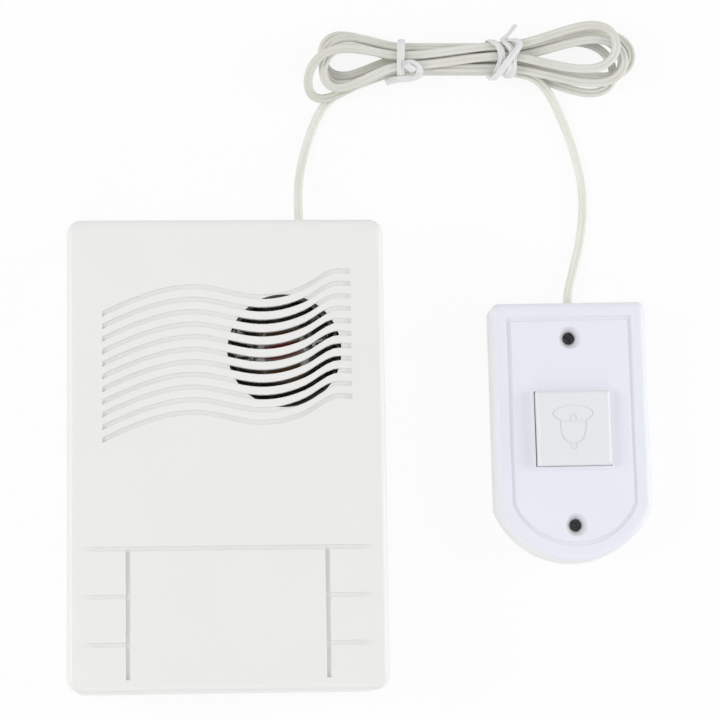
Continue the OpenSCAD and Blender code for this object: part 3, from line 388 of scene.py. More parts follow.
def make_clear_film():
    """Film of the speaker over its dark frame: black outside, brown over the coil, with painted glints as
    pale patches left and right round the coil.
    """
    material, tree, shader = new_material("clear_film")
    centred = mapped(tree, place_on(tree), Location=(-SPEAKER[0] * MM, -SPEAKER[1] * MM, 0.0))
    flat = flattened(tree, centred)
    cloud = noise(tree, centred, 420.0, 3.0)
    radius = plus(tree, vector_math(tree, "LENGTH", flat),
                  spread(tree, cloud, *SWING, -FILM_WANDER, FILM_WANDER))
    olive = between(tree, rise(tree, radius, *OLIVE_TO_BLACK), linear(106, 94, 66), linear(15, 15, 15))
    brown = between(tree, rise(tree, radius, *BROWN_TO_OLIVE), linear(134, 48, 40), olive)
    # Painted highlight: pale patches in a ring left and right of the coil stand in for glints of the side
    # lamps on the film
    side = rise(tree, math_node(tree, "ABSOLUTE", part_of(tree, flat, "X")), *GLINT_SIDES)
    glint_patch = rise(tree, noise(tree, centred, 260.0, 1.0), 0.42, 0.50)
    painted_glint = times(tree, times(tree, within(tree, radius, *GLINT_RING), side), glint_patch)
    feed(tree, shader.inputs,
         Base_Color=between(tree, painted_glint, brown, linear(246, 246, 246)),
         Roughness=spread(tree, cloud, *SWING, 0.08, 0.26),
         Normal=relief(tree, 0.25, 0.00006, cloud))
    shader.inputs["Coat Weight"].default_value = 0.6
    shader.inputs["Coat Roughness"].default_value = 0.08
    return material


def skin_in(tree):
    """The shared effect that a material was made with."""
    return next(node for node in tree.nodes if node.type == "GROUP")


def paint_light_and_shade_on_push(material):
    """Cool white on the panel of the push, with painted light as a plain white round its outer edge, and
    painted shade darker down its screw holes.
    """
    tree = material.node_tree
    skin = skin_in(tree)
    place = place_on(tree)
    z = part_of(tree, place, "Z")
    flat = flattened(tree, place)
    # Painted light: the rounded outer edge below the panel gets a lighter, neutral white where the side lamps
    # fall on it
    tone = between(tree, rise(tree, z, *PAINTED_RIM_LIGHT), linear(237, 237, 238), PANEL_TONE)
    # Painted shade: darker down the walls and rim of each screw hole
    depth = times(tree, spread(tree, z, *HOLE_WALL_SHADE, 0.45, 1.0), spread(tree, z, *HOLE_RIM_SHADE, 0.84, 1.0))
    for y in SCREW_HOLES:
        away = vector_math(tree, "DISTANCE", flat, push_point(0, y, 0) * MM)
        tone = tint(tree, tone, math_node(tree, "MAXIMUM", depth, above(tree, away, HOLE_SHADE)))
    feed(tree, skin.inputs, Colour=tone)


def paint_shade_in_hank(material, start, end):
    """Painted shade: the lead is a little darker in its hank, from start to end along it, where its loops
    shade one another, than over the bright ground.
    """
    tree = material.node_tree
    along = part_of(tree, place_on(tree, "UV"), "X")
    # Mask of the painted shade: 1 along the hank, fading out at both ends
    wound = within(tree, along, start - HANK_FADE, start, end, end + HANK_FADE)
    tone = tint(tree, skin_in(tree).outputs["Colour"], spread(tree, wound, 0.0, 1.0, 1.0, HANK_SHADE))
    feed(tree, tree.nodes["Principled BSDF"].inputs, Base_Color=tone)


CELL_SLEEVE = make_cell_sleeve()
BOARD_GREEN = make_board_green()
RESISTOR_TAN = make_resistor_tan()
CLEAR_FILM = make_clear_film()
# Painted light at the push's outer edge and painted shade in its screw holes
paint_light_and_shade_on_push(PUSH_WHITE)

# Mesh building. Points closer than MERGE are one, and edges sharper than SHARP can be rounded.

MERGE = 0.000002
FLAT = math.radians(0.6)
SHARP = math.radians(38)
ROUNDING_STEPS = 3
FLAT_WEIGHT = 80


def new_object(name, mesh, material=None):
    obj = bpy.data.objects.new(name, mesh)
    bpy.context.scene.collection.objects.link(obj)
    if material is not None:
        mesh.materials.clear()
        mesh.materials.append(material)
    return obj


def settle(obj):
    """Turns an object and its modifiers into a plain mesh object of the same name."""
    bpy.context.view_layer.update()
    graph = bpy.context.evaluated_depsgraph_get()
    shown = obj.evaluated_get(graph)
    mesh = bpy.data.meshes.new_from_object(shown, preserve_all_data_layers=True, depsgraph=graph)
    name = obj.name
    bpy.data.objects.remove(obj)
    mesh.name = name
    return new_object(name, mesh)


def dress(obj, body, slot, *nodes):
    """Puts a finished piece on its body, in the place of the nodes that it stands for."""
    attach(obj, body)
    if nodes:
        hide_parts(*nodes)
    return obj


def softened(node, name, material, width, share, moved=None, flats=True, cuts=()):
    """Copy of a moulded shell with sharp edges rounded. share(place) gives an edge's part of the width.

    With flats, level faces are joined, then split at the cuts, which are places along X. moved(place) gives
    a point's new place."""
    mesh = NODES[node].data.copy()
    mesh.name = name
    bm = bmesh.new()
    bm.from_mesh(mesh)
    bmesh.ops.remove_doubles(bm, verts=bm.verts, dist=MERGE)
    bmesh.ops.dissolve_degenerate(bm, dist=MERGE, edges=bm.edges)
    if flats:
        bmesh.ops.dissolve_limit(bm, angle_limit=FLAT, verts=bm.verts, edges=bm.edges)
        for x in cuts:
            bmesh.ops.bisect_plane(bm, geom=bm.verts[:] + bm.edges[:] + bm.faces[:], dist=MERGE,
                                   plane_co=(x * MM, 0, 0), plane_no=(1, 0, 0))
        bmesh.ops.triangulate(bm, faces=bm.faces)
    if moved is not None:
        for vert in bm.verts:
            vert.co = moved(vert.co)
    weights = bm.edges.layers.float.new("bevel_weight_edge")
    for edge in bm.edges:
        if len(edge.link_faces) == 2 and edge.calc_face_angle(0.0) > SHARP:
            edge[weights] = share((edge.verts[0].co + edge.verts[1].co) / 2)
            edge.smooth = edge[weights] > 0.0
    bm.to_mesh(mesh)
    bm.free()
    obj = new_object(name, mesh, material)
    bevel = obj.modifiers.new("edge", "BEVEL")
    bevel.limit_method = "WEIGHT"
    bevel.width = width
    bevel.segments = ROUNDING_STEPS
    bevel.use_clamp_overlap = False
    bevel.loop_slide = False
    mesh.polygons.foreach_set("use_smooth", [True] * len(mesh.polygons))
    normals = obj.modifiers.new("even", "WEIGHTED_NORMAL")
    normals.keep_sharp = True
    normals.weight = FLAT_WEIGHT
    return settle(obj)


def joined(name, parts):
    """One piece from several finished ones."""
    bm = bmesh.new()
    for part in parts:
        bm.from_mesh(part.data)
    material = parts[0].data.materials[0]
    mesh = bpy.data.meshes.new(name)
    bm.to_mesh(mesh)
    bm.free()
    for part in parts:
        bpy.data.objects.remove(part)
    return new_object(name, mesh, material)


# Geometry Nodes: shapes that repeat or follow a path

CREASE = math.radians(28)
CROSS_BAR = (1.15, 0.27)
CROSS_DEPTH = 1.2
HEAD_SIDES = 40
SHANK_SIDES = 20
WIRE_SIDES = 16
SPRING_STEPS = 48
FILM_ROUND = 241
FILM_OUT = 36
RIB_REACH = (0.0090, 0.0100, 0.0128, 0.0138)
RIBBON_EDGE = 0.48


def growth(name, inputs):
    """Empty Geometry Nodes tree: places to start from, named sizes, a finish, and one shape as its result."""
    tree = bpy.data.node_groups.new(name, "GeometryNodeTree")
    tree.interface.new_socket("Places", in_out="INPUT", socket_type="NodeSocketGeometry")
    add_inputs(tree, inputs)
    tree.interface.new_socket("Finish", in_out="INPUT", socket_type="NodeSocketMaterial")
    tree.interface.new_socket("Shape", in_out="OUTPUT", socket_type="NodeSocketGeometry")
    return ends_of(tree)


def close_growth(tree, given, result, shape):
    """Ends a tree: instances made real, round faces smooth, creases sharp, in its finish."""
    real = add(tree, "GeometryNodeRealizeInstances", {"Geometry": shape}).outputs[0]
    soft = add(tree, "GeometryNodeSetShadeSmooth", {"Geometry": real, "Shade Smooth": True}).outputs[0]
    angle = add(tree, "GeometryNodeInputMeshEdgeAngle").outputs["Unsigned Angle"]
    sharp = {"Geometry": soft, "Selection": above(tree, angle, CREASE), "Shade Smooth": False}
    crisp = add(tree, "GeometryNodeSetShadeSmooth", sharp, domain="EDGE").outputs[0]
    done = add(tree, "GeometryNodeSetMaterial", {"Geometry": crisp, "Material": given["Finish"]}).outputs[0]
    feed(tree, result, Shape=done)
    return tree


def grown(name, tree, material, values, places, edges=(), directions=None):
    """Plain mesh that a tree grows from places in millimetres, each with a direction where it needs one."""
    mesh = bpy.data.meshes.new(name)
    mesh.from_pydata([Vector(p) * MM for p in places], edges, [])
    if directions is not None:
        layer = mesh.attributes.new("direction", "FLOAT_VECTOR", "POINT")
        for item, direction in zip(layer.data, directions):
            item.vector = direction
    obj = new_object(name, mesh)
    modifier = obj.modifiers.new("growth", "NODES")
    modifier.node_group = tree
    sockets = {item.name: item.identifier for item in tree.interface.items_tree if item.in_out == "INPUT"}
    for label, value in {**values, "Finish": material}.items():
        modifier[sockets[label]] = value
    return settle(obj)


def direction_of(tree):
    values = {"Name": "direction"}
    return add(tree, "GeometryNodeInputNamedAttribute", values, data_type="FLOAT_VECTOR").outputs[0]


def ring_of(tree, radius, sides):
    return add(tree, "GeometryNodeCurvePrimitiveCircle", {"Resolution": sides, "Radius": radius}).outputs[0]


def drawn_along(tree, line, section, **more):
    """Solid that a section leaves along a line, with closed ends."""
    values = {"Curve": line, "Profile Curve": section, "Fill Caps": True, **more}
    return add(tree, "GeometryNodeCurveToMesh", values).outputs[0]


def turned(tree, height, spacing, radius, sides):
    """Turned shape along Z: a line cut at an even spacing, with its radius at each cut."""
    line = add(tree, "GeometryNodeCurvePrimitiveLine", {"End": vector_of(tree, z=height)}).outputs[0]
    cut = add(tree, "GeometryNodeResampleCurve", {"Curve": line, "Length": spacing}, mode="LENGTH").outputs[0]
    return drawn_along(tree, cut, ring_of(tree, 1.0, sides), Scale=radius)


def merged(tree, shape):
    return add(tree, "GeometryNodeMergeByDistance", {"Geometry": shape, "Distance": MERGE}).outputs[0]


def together(tree, shapes):
    node = add(tree, "GeometryNodeJoinGeometry")
    for shape in shapes:
        tree.links.new(shape, node.inputs[0])
    return node.outputs[0]


def on_places(tree, given, shape, **turn):
    """The shape on each of the tree's places."""
    values = {"Points": given["Places"], "Instance": shape, **turn}
    return add(tree, "GeometryNodeInstanceOnPoints", values).outputs[0]


def make_screw_growth():
    """Pan-head screws with a cross recess and a threaded shank, one on each place."""
    tree, given, result = growth("cross_head_screws", {
        "Head Radius": 0.0025, "Head Height": 0.001, "Shank Radius": 0.001, "Shank Length": 0.01,
        "Thread Pitch": 0.0009, "Turned Over": 0.0, "Seed": 1})
    radius, height, pitch = given["Head Radius"], given["Head Height"], given["Thread Pitch"]
    along = add(tree, "GeometryNodeSplineParameter").outputs
    crown = math_node(tree, "POWER", times(tree, along["Factor"], 0.96), 4.0)
    head_r = times(tree, radius, math_node(tree, "SQRT", minus(tree, 1.0, crown)))
    head = turned(tree, height, times(tree, height, 0.1), head_r, HEAD_SIDES)
    depth = times(tree, height, CROSS_DEPTH)
    cutter = add(tree, "GeometryNodeMeshBoolean", {"Mesh 1": head}, operation="DIFFERENCE", solver="EXACT")
    for x, y in (CROSS_BAR, CROSS_BAR[::-1]):
        size = vector_of(tree, times(tree, radius, x), times(tree, radius, y), depth)
        bar = add(tree, "GeometryNodeMeshCube", {"Size": size}).outputs["Mesh"]
        values = {"Geometry": bar, "Translation": vector_of(tree, z=height)}
        feed(tree, cutter.inputs, Mesh_2=add(tree, "GeometryNodeTransform", values).outputs[0])
    turns = math_node(tree, "DIVIDE", along["Length"], times(tree, pitch, 0.5))
    ridge = math_node(tree, "PINGPONG", turns, 1.0)
    taper = plus(tree, 0.25, times(tree, 4.0, minus(tree, 1.0, along["Factor"])))
    tip = math_node(tree, "MINIMUM", 1.0, taper)
    shank_r = times(tree, times(tree, given["Shank Radius"], tip), spread(tree, ridge, 0.0, 1.0, 0.8, 1.0))
    shank_l = times(tree, given["Shank Length"], -1.0)
    shank = turned(tree, shank_l, times(tree, pitch, 0.25), shank_r, SHANK_SIDES)
    screw = together(tree, (cutter.outputs["Mesh"], shank))
    values = {2: 0.0, 3: math.pi, "Seed": given["Seed"]}
    spin = add(tree, "FunctionNodeRandomValue", values, data_type="FLOAT").outputs[1]
    turn = vector_of(tree, x=times(tree, given["Turned Over"], math.pi), z=spin)
    return close_growth(tree, given, result, on_places(tree, given, screw, Rotation=turn))


def make_spring_growth():
    """Springs: wire wound from a foot to a tip of their own radii, one on each place, along its direction."""
    tree, given, result = growth("contact_springs", {
        "Turns": 4.0, "Foot Radius": 0.0046, "Tip Radius": 0.0028, "Length": 0.0041, "Wire": 0.0008})
    values = {"Resolution": SPRING_STEPS, "Rotations": given["Turns"], "Height": given["Length"],
              "Start Radius": given["Foot Radius"], "End Radius": given["Tip Radius"]}
    wound = add(tree, "GeometryNodeCurveSpiral", values).outputs[0]
    wire = drawn_along(tree, wound, ring_of(tree, times(tree, given["Wire"], 0.5), WIRE_SIDES))
    turn = add(tree, "FunctionNodeAlignRotationToVector", {"Vector": direction_of(tree)}, axis="Z").outputs[0]
    return close_growth(tree, given, result, on_places(tree, given, wire, Rotation=turn))


def make_film_growth():
    """Pressed film of a small speaker: a dome inside the coil and a cone with slanting ribs, on one place."""
    tree, given, result = growth("ribbed_film", {
        "Dome Radius": 0.0074, "Dome Height": 0.0015, "Cone Start": 0.0084, "Edge Radius": 0.01415,
        "Cone Height": 0.0035, "Ribs": 30.0, "Slant": 260.0, "Rib Height": 0.00016, "Film": 0.0003})
    values = {"Size X": 1.0, "Size Y": 1.0, "Vertices X": FILM_ROUND, "Vertices Y": FILM_OUT}
    grid = add(tree, "GeometryNodeMeshGrid", values).outputs["Mesh"]
    spot = add(tree, "GeometryNodeInputPosition").outputs[0]
    angle = times(tree, part_of(tree, spot, "X"), 2 * math.pi)
    radius = times(tree, plus(tree, part_of(tree, spot, "Y"), 0.5), given["Edge Radius"])
    part = math_node(tree, "DIVIDE", radius, given["Dome Radius"])
    bulge = math_node(tree, "MAXIMUM", 0.0, minus(tree, 1.0, math_node(tree, "POWER", part, 2.0)))
    dome = times(tree, given["Dome Height"], bulge)
    cone = spread(tree, radius, given["Cone Start"], given["Edge Radius"], 0.0, given["Cone Height"])
    slant = times(tree, radius, times(tree, given["Slant"], given["Ribs"]))
    rib = math_node(tree, "SINE", plus(tree, times(tree, angle, given["Ribs"]), slant))
    ribbed = times(tree, times(tree, rib, within(tree, radius, *RIB_REACH)), given["Rib Height"])
    bent = vector_of(tree, times(tree, radius, math_node(tree, "COSINE", angle)),
                     times(tree, radius, math_node(tree, "SINE", angle)),
                     plus(tree, plus(tree, dome, cone), ribbed))
    sheet = add(tree, "GeometryNodeSetPosition", {"Geometry": grid, "Position": bent}).outputs[0]
    sealed = merged(tree, sheet)
    upper = add(tree, "GeometryNodeFlipFaces", {"Mesh": sealed}).outputs[0]
    values = {"Mesh": upper, "Offset": vector_of(tree, z=1.0), "Offset Scale": given["Film"],
              "Individual": False}
    lifted = add(tree, "GeometryNodeExtrudeMesh", values, mode="FACES").outputs["Mesh"]
    closed = merged(tree, together(tree, (lifted, sealed)))
    return close_growth(tree, given, result, on_places(tree, given, closed))


def make_ribbon_growth():
    """Tie ribbon along a line of places: a flat strip with rounded edges over a round wire core."""
    tree, given, result = growth("tie_ribbon", {"Width": 0.0022, "Thickness": 0.0004, "Core": 0.0008})
    line = add(tree, "GeometryNodeMeshToCurve", {"Mesh": given["Places"]}).outputs[0]
    values = {"Curve": line, "Normal": direction_of(tree)}
    faced = add(tree, "GeometryNodeSetCurveNormal", values, mode="FREE").outputs[0]
    values = {"Width": given["Thickness"], "Height": given["Width"]}
    strip = add(tree, "GeometryNodeCurvePrimitiveQuadrilateral", values).outputs[0]
    values = {"Curve": strip, "Count": 3, "Radius": times(tree, given["Thickness"], RIBBON_EDGE)}
    round_strip = add(tree, "GeometryNodeFilletCurve", values, mode="POLY").outputs[0]
    core = ring_of(tree, times(tree, given["Core"], 0.5), WIRE_SIDES)
    both = together(tree, [drawn_along(tree, faced, section) for section in (round_strip, core)])
    return close_growth(tree, given, result, both)


SCREWS = make_screw_growth()
SPRINGS = make_spring_growth()
RIBBED_FILM = make_film_growth()
RIBBON = make_ribbon_growth()

# The lead: routes in millimetres, as the solids lie

LEAD_CHIME = [(21.7, 66, 8.1), (21.7, 69, 8.1), (21.6, 74, 7), (21.7, 79, 5), (22.3, 84.5, 2.8),
              (23.4, 90, 1.4), (25.2, 96, 0.8), (27.4, 101.6, 0.8), (30, 106, 0.8), (33, 108.8, 0.8),
              (36.6, 110.8, 0.8), (40.6, 112.4, 1), (44.6, 113.8, 1.4), (48.2, 115, 1.8), (51.8, 116, 1.9),
              (54.8, 116, 1.9)]
LEAD_BUTTON = [(80.8, 116, 3.9), (83.8, 116, 3.9), (86.6, 115.3, 3.9), (89.4, 114.5, 3.9),
               (92.2, 113.4, 3.8), (94.6, 111.3, 3.6), (96.7, 108.6, 2.8), (99.2, 104, 1.5),
               (102, 97, 0.8), (104.4, 89, 0.8), (105.8, 80.8, 0.8), (105.8, 72.6, 0.8),
               (104.6, 64.4, 0.9), (102.6, 56.6, 1.6), (100.9, 50.6, 2.6)]
ENTRY = (1.1, 2.9)
LEAD_SPACING = 0.9
LEAD_EASING = 6
CORE_X = 0.6
CORE_R = 0.7
WEB = 0.44

# The hank: loops about its middle, with a straight waist in columns and layers
HANK = (67.8, 118.3)
LOOPS = 5
LOOP_STEPS = 40
RUN_STEPS = 12
MIDDLE_LOOP = 2
WAIST = 16.0
JOIN = 13.0
RISE = 0.8
COLUMN = 3.1
LAYER = 2.0
LOWEST = 0.8
LOW_RUN = 1.9
LAST_LAYER = 0.85
COLUMN_LEFT = (-1, 1, 0, 1, 0, 1, -1, 0, -1, 0, -1)
COLUMN_RIGHT = (-1, 1, 0, 1, 0, 1, -1, 0, 0, 1, -1)
RUN_LAYER = (0, 0, 0, 1, 1, 2, 2, 2, 3, 3, 1)

# Ends of the loops: how far they reach, lean to one side and swell
REACH_RIGHT = 53.5
REACH_LEFT = 38.5
REACH_LAST = 43.0
STEP_RIGHT = 2.5
LEAN_LEFT = 1.4
STEP_LEFT = 1.2
LEAN_LAST = -5.3
SWELL_RIGHT = 1.1 * 6.0
SWELL_LEFT = 1.1 * 5.6


def smooth(t):
    c = max(0.0, min(1.0, t))
    return c * c * (3 - 2 * c)


def run_height(run):
    return LOW_RUN + LAYER * RUN_LAYER[run]


def half_loop(half, u):
    """Half a loop: out from the waist on one run, round the end and back on the next."""
    k = half // 2
    last = half == 2 * LOOPS - 1
    if half % 2 == 0:
        side, columns, swell = 1, COLUMN_RIGHT, SWELL_RIGHT
        reach = REACH_RIGHT - STEP_RIGHT * abs(k - MIDDLE_LOOP)
        lean = STEP_RIGHT * (k - MIDDLE_LOOP) / 2
    else:
        side, columns, swell = -1, COLUMN_LEFT, SWELL_LEFT
        reach = REACH_LAST if last else REACH_LEFT
        lean = LEAN_LAST if last else LEAN_LEFT - STEP_LEFT * k
    s = math.sin(math.pi * u)
    level = LOWEST + LAYER * k
    back = LOWEST + LAYER * LAST_LAYER if last else level
    y0, y1 = COLUMN * columns[half], COLUMN * columns[half + 1]
    here = run_height(half if u < 0.5 else half + 1)
    z = level + (back - level) * smooth((u - 0.36) / 0.34)
    return Vector((side * (WAIST + (reach - WAIST) * s),
                   RISE + y0 + (y1 - y0) * smooth(u) + (lean - RISE) * s * s
                   - side * swell * math.sin(2 * math.pi * u) * math.sqrt(max(0.0, s)),
                   here + (z - here) * smooth(min(u, 1 - u) / 0.3)))


def waist_point(run, x):
    f = smooth(0.5 + x / (2 * WAIST))
    column = COLUMN_LEFT[run] + (COLUMN_RIGHT[run] - COLUMN_LEFT[run]) * f
    return Vector((x, RISE + COLUMN * column, run_height(run)))


def hank_route():
    """Middle line of the hank, from its first run to its last."""
    points = [waist_point(0, -JOIN + (WAIST + JOIN) * k / RUN_STEPS) for k in range(RUN_STEPS)]
    for half in range(2 * LOOPS):
        points += [half_loop(half, k / LOOP_STEPS) for k in range(LOOP_STEPS)]
        side = -1 if half % 2 else 1
        points += [waist_point(half + 1, side * WAIST * (1 - 2 * k / RUN_STEPS)) for k in range(RUN_STEPS)]
    end = [waist_point(2 * LOOPS, -WAIST + (WAIST + JOIN) * k / RUN_STEPS) for k in range(RUN_STEPS + 1)]
    return [Vector((HANK[0], HANK[1], 0)) + p for p in points[:-RUN_STEPS] + end]


def curved(points, steps=10):
    """Smooth line through points."""
    line = []
    pts = [Vector(p) for p in points]
    for i in range(len(pts) - 1):
        a, b, c, d = pts[max(i - 1, 0)], pts[i], pts[i + 1], pts[min(i + 2, len(pts) - 1)]
        for k in range(steps):
            t = k / steps
            line.append(0.5 * (2 * b + (c - a) * t + (2 * a - 5 * b + 4 * c - d) * t * t
                               + (3 * b - a - 3 * c + d) * t ** 3))
    return line + [pts[-1]]


def evenly(points, spacing):
    """The same line with its points an even distance apart."""
    lengths = [0.0]
    for a, b in zip(points, points[1:]):
        lengths.append(lengths[-1] + (b - a).length)
    count = max(2, round(lengths[-1] / spacing))
    line, i = [], 0
    for k in range(count + 1):
        want = lengths[-1] * k / count
        while i < len(points) - 2 and lengths[i + 1] < want:
            i += 1
        span = lengths[i + 1] - lengths[i]
        line.append(points[i].lerp(points[i + 1], (want - lengths[i]) / span if span > 0 else 0.0))
    return line


def eased(points, rounds):
    """Small kinks worked out of an even line. Its first and last points stay."""
    for _ in range(rounds):
        points = points[:2] + [(points[i - 1] + 2 * points[i] + points[i + 1]) / 4
                               for i in range(2, len(points) - 2)] + points[-2:]
    return points


def swept(name, path, section, material):
    """Tube along a path in millimetres, with its section kept level and a UV map that runs along it."""
    mesh = bpy.data.meshes.new(name)
    n, m = len(path), len(section)
    verts, lengths = [], [0.0]
    for i, p in enumerate(path):
        ahead = path[min(i + 1, n - 1)]
        along = (ahead - path[max(i - 1, 0)]).normalized()
        across = along.cross(UP).normalized()
        up = across.cross(along)
        verts += [(p + across * s[0] + up * s[1]) * MM for s in section]
        lengths.append(lengths[-1] + (ahead - p).length * MM)
    faces, uvs = [], []
    for i in range(n - 1):
        here, there = lengths[i], lengths[i + 1]
        for k in range(m):
            j, q = i + 1, (k + 1) % m
            faces.append((i * m + k, i * m + q, j * m + q, j * m + k))
            uvs += [(here, k / m), (here, (k + 1) / m), (there, (k + 1) / m), (there, k / m)]
    for first, order in ((0, range(m - 1, -1, -1)), ((n - 1) * m, range(m))):
        faces.append(tuple(first + k for k in order))
        uvs += [(0.0, k / m) for k in range(m)]
    mesh.from_pydata(verts, [], faces)
    layer = mesh.uv_layers.new(name="UVMap")
    for loop, uv in zip(layer.data, uvs):
        loop.uv = uv
    bm = bmesh.new()
    bm.from_mesh(mesh)
    bmesh.ops.recalc_face_normals(bm, faces=bm.faces)
    bm.to_mesh(mesh)
    bm.free()
    for face in mesh.polygons:
        face.use_smooth = True
    return new_object(name, mesh, material)


def twin_section():
    """Two round cores side by side with a web between them."""
    angles = [math.radians(a) for a in range(-135, 136, 27)]
    lobe = [(CORE_X + CORE_R * math.cos(a), CORE_R * math.sin(a)) for a in angles]
    other = [(-x, -y) for x, y in lobe]
    return lobe + [(0.0, WEB)] + other + [(0.0, -WEB)]


def route_length(points):
    """Length of a line in millimetres, given in metres."""
    return sum((b - a).length for a, b in zip(points, points[1:])) * MM


from_box = curved(LEAD_CHIME)
to_push = curved([*LEAD_BUTTON, push_point(ENTRY[0], PUSH_HALF + 3, ENTRY[1]),
                  push_point(ENTRY[0], PUSH_HALF, ENTRY[1])])
lead_route = eased(evenly(from_box[:-1] + hank_route() + to_push[1:], LEAD_SPACING), LEAD_EASING)
lead_length = route_length(lead_route)
# Painted shade on the lead along its hank
paint_shade_in_hank(LEAD_VINYL, route_length(from_box), lead_length - route_length(to_push))
lead = swept("twin_lead", lead_route, twin_section(), LEAD_VINYL)
dress(lead, "chime_set", "lead_vinyl", "cord_lead_chime", "cord_hank", "cord_lead_button")

# Camera as the photo was taken: place in millimetres, turns in radians

CAMERA_PLACE = Vector((-9.90, -82.63, 764.67))
PAN = -0.0643
TILT = 0.1459
ROLL = -0.0159

camera = bpy.data.objects.new("camera", bpy.data.cameras.new("camera"))
bpy.context.scene.collection.objects.link(camera)
camera.data.sensor_width = 36.0
camera.data.lens = 132.75
camera.data.clip_end = 10.0
turn = Matrix.Rotation(PAN, 3, "Y") @ Matrix.Rotation(TILT, 3, "X") @ Matrix.Rotation(ROLL, 3, "Z")
camera.matrix_world = Matrix.Translation(CAMERA_PLACE * MM) @ turn.to_4x4()
bpy.context.scene.camera = camera
bpy.context.scene.view_settings.view_transform = "Standard"

# Floor and light, in metres and watts

FLOOR_HALF = 3.0
FLOOR_Z = -0.0003
FLOOR_TONE = (0.94, 0.94, 0.94, 1)
FLOOR_WHITE = 0.88
HOLE_FLOOR = 0.006
ROOM_LIGHT = 0.60
AIM = Vector((0.03, 0.03, 0.0))
LAMPS = (("left_box", (-0.86, 0.03, 0.66), 3.9, 0.5),
         ("right_box", (1.1, 0.03, 0.42), 5.2, 0.7),
         ("front_box", (0.05, -0.95, 0.55), 1.8, 0.8),
         ("back_box", (0.05, 1.05, 0.48), 0.6, 0.6))


def seen_rays(tree):
    """1 where a ray comes from the camera, a mirror or glass."""
    light = add(tree, "ShaderNodeLightPath").outputs
    seen = math_node(tree, "MAXIMUM", light["Is Camera Ray"], light["Is Glossy Ray"])
    return math_node(tree, "MAXIMUM", seen, light["Is Transmission Ray"])


def make_floor():
    """Pale floor that shows as near white, and keeps its shade under the screw holes of the push."""
    material = bpy.data.materials.new("pale_floor")
    material.use_nodes = True
    tree = material.node_tree
    tree.nodes.clear()
    matt = add(tree, "ShaderNodeBsdfDiffuse", {"Color": FLOOR_TONE}).outputs[0]
    white = add(tree, "ShaderNodeEmission", {"Color": PURE_WHITE, "Strength": 1.0}).outputs[0]
    place = place_on(tree)
    open_floor = 1.0
    for y in SCREW_HOLES:
        away = vector_math(tree, "DISTANCE", place, push_point(0, y, 0) * MM)
        open_floor = times(tree, open_floor, above(tree, away, HOLE_FLOOR))
    share = times(tree, times(tree, seen_rays(tree), open_floor), FLOOR_WHITE)
    both = add(tree, "ShaderNodeMixShader", {0: share, 1: matt, 2: white}).outputs[0]
    add(tree, "ShaderNodeOutputMaterial", {"Surface": both})
    corners = [(x * FLOOR_HALF, y * FLOOR_HALF, FLOOR_Z) for x, y in ((-1, -1), (1, -1), (1, 1), (-1, 1))]
    mesh = bpy.data.meshes.new("floor")
    mesh.from_pydata(corners, [], [(0, 1, 2, 3)])
    floor = new_object("floor", mesh, material)


def make_light():
    """Even light from a pale room, and soft lamps on four sides."""
    world = bpy.data.worlds.new("studio")
    bpy.context.scene.world = world
    world.use_nodes = True
    tree = world.node_tree
    tree.nodes.clear()
    room = add(tree, "ShaderNodeBackground", {"Color": PURE_WHITE, "Strength": ROOM_LIGHT}).outputs[0]
    white = add(tree, "ShaderNodeBackground", {"Color": PURE_WHITE, "Strength": 1.0}).outputs[0]
    both = add(tree, "ShaderNodeMixShader", {0: seen_rays(tree), 1: room, 2: white}).outputs[0]
    add(tree, "ShaderNodeOutputWorld", {"Surface": both})
    for name, place, energy, size in LAMPS:
        lamp = bpy.data.lights.new(name, "AREA")
        lamp.shape = "SQUARE"
        lamp.size = size
        lamp.energy = energy
        obj = bpy.data.objects.new(name, lamp)
        bpy.context.scene.collection.objects.link(obj)
        obj.location = place
        obj.rotation_euler = (AIM - Vector(place)).to_track_quat("-Z", "Y").to_euler()


make_floor()
make_light()

# Shells of the chime box and of the push, in millimetres. An edge this NEAR to a face counts as on it.

NEAR = 0.05
FRONT = 30.0
LINE_FULL = 36.9
PANEL_LINES = -24.7
PANEL = 12.0
COLLAR = 12.5
COLLAR_SHARE = 0.6
COLLAR_HALF = 13.0
CAP_TOP = 15.0
CAP_Y = 0.5
OPENING = 11.0
OPENING_Z = 10.0
BELL_FLOOR = 14.75
BELL_DEPTH = 0.18
BELL_HALF = (7, 8)
HOLE_R = 1.9
HOLE_Z = 2.5
HOLE_FLARE = 1.7
TIGHT_RIGHT = 0.06
TIGHT_TOP = 0.08
TIGHT_BOTTOM = 0.16


def on_push(place):
    """Place on the push, in its own millimetres."""
    c, s = math.cos(PUSH_TURN), math.sin(PUSH_TURN)
    x, y = place.x / MM - PUSH[0], place.y / MM - PUSH[1]
    return x * c + y * s, y * c - x * s


def front_edges(place):
    """Edges on the front. The panel lines run out to the face at their ends, and are left sharp there."""
    run_out = abs(place.x) > LINE_FULL * MM and place.y < PANEL_LINES * MM
    return 1.0 if place.z > (FRONT - 2 * NEAR) * MM and not run_out else 0.0


def back_edges(place):
    return 1.0 if place.z < 2 * NEAR * MM else 0.0


def all_edges(place):
    return 1.0


def panel_edges(place):
    """Edges on the panel of the push. The low collar round the cap takes less."""
    x, y = on_push(place)
    if place.z > (COLLAR - NEAR) * MM:
        return COLLAR_SHARE
    return 1.0 if place.z > (PANEL - NEAR) * MM and max(abs(x), abs(y)) > COLLAR_HALF else 0.0


def in_bell(place):
    x, y = on_push(place)
    return place.z > (BELL_FLOOR - NEAR) * MM and abs(x) < BELL_HALF[0] and abs(y) < BELL_HALF[1]


def cap_edges(place):
    return 1.0 if place.z > PANEL * MM and not in_bell(place) else 0.0


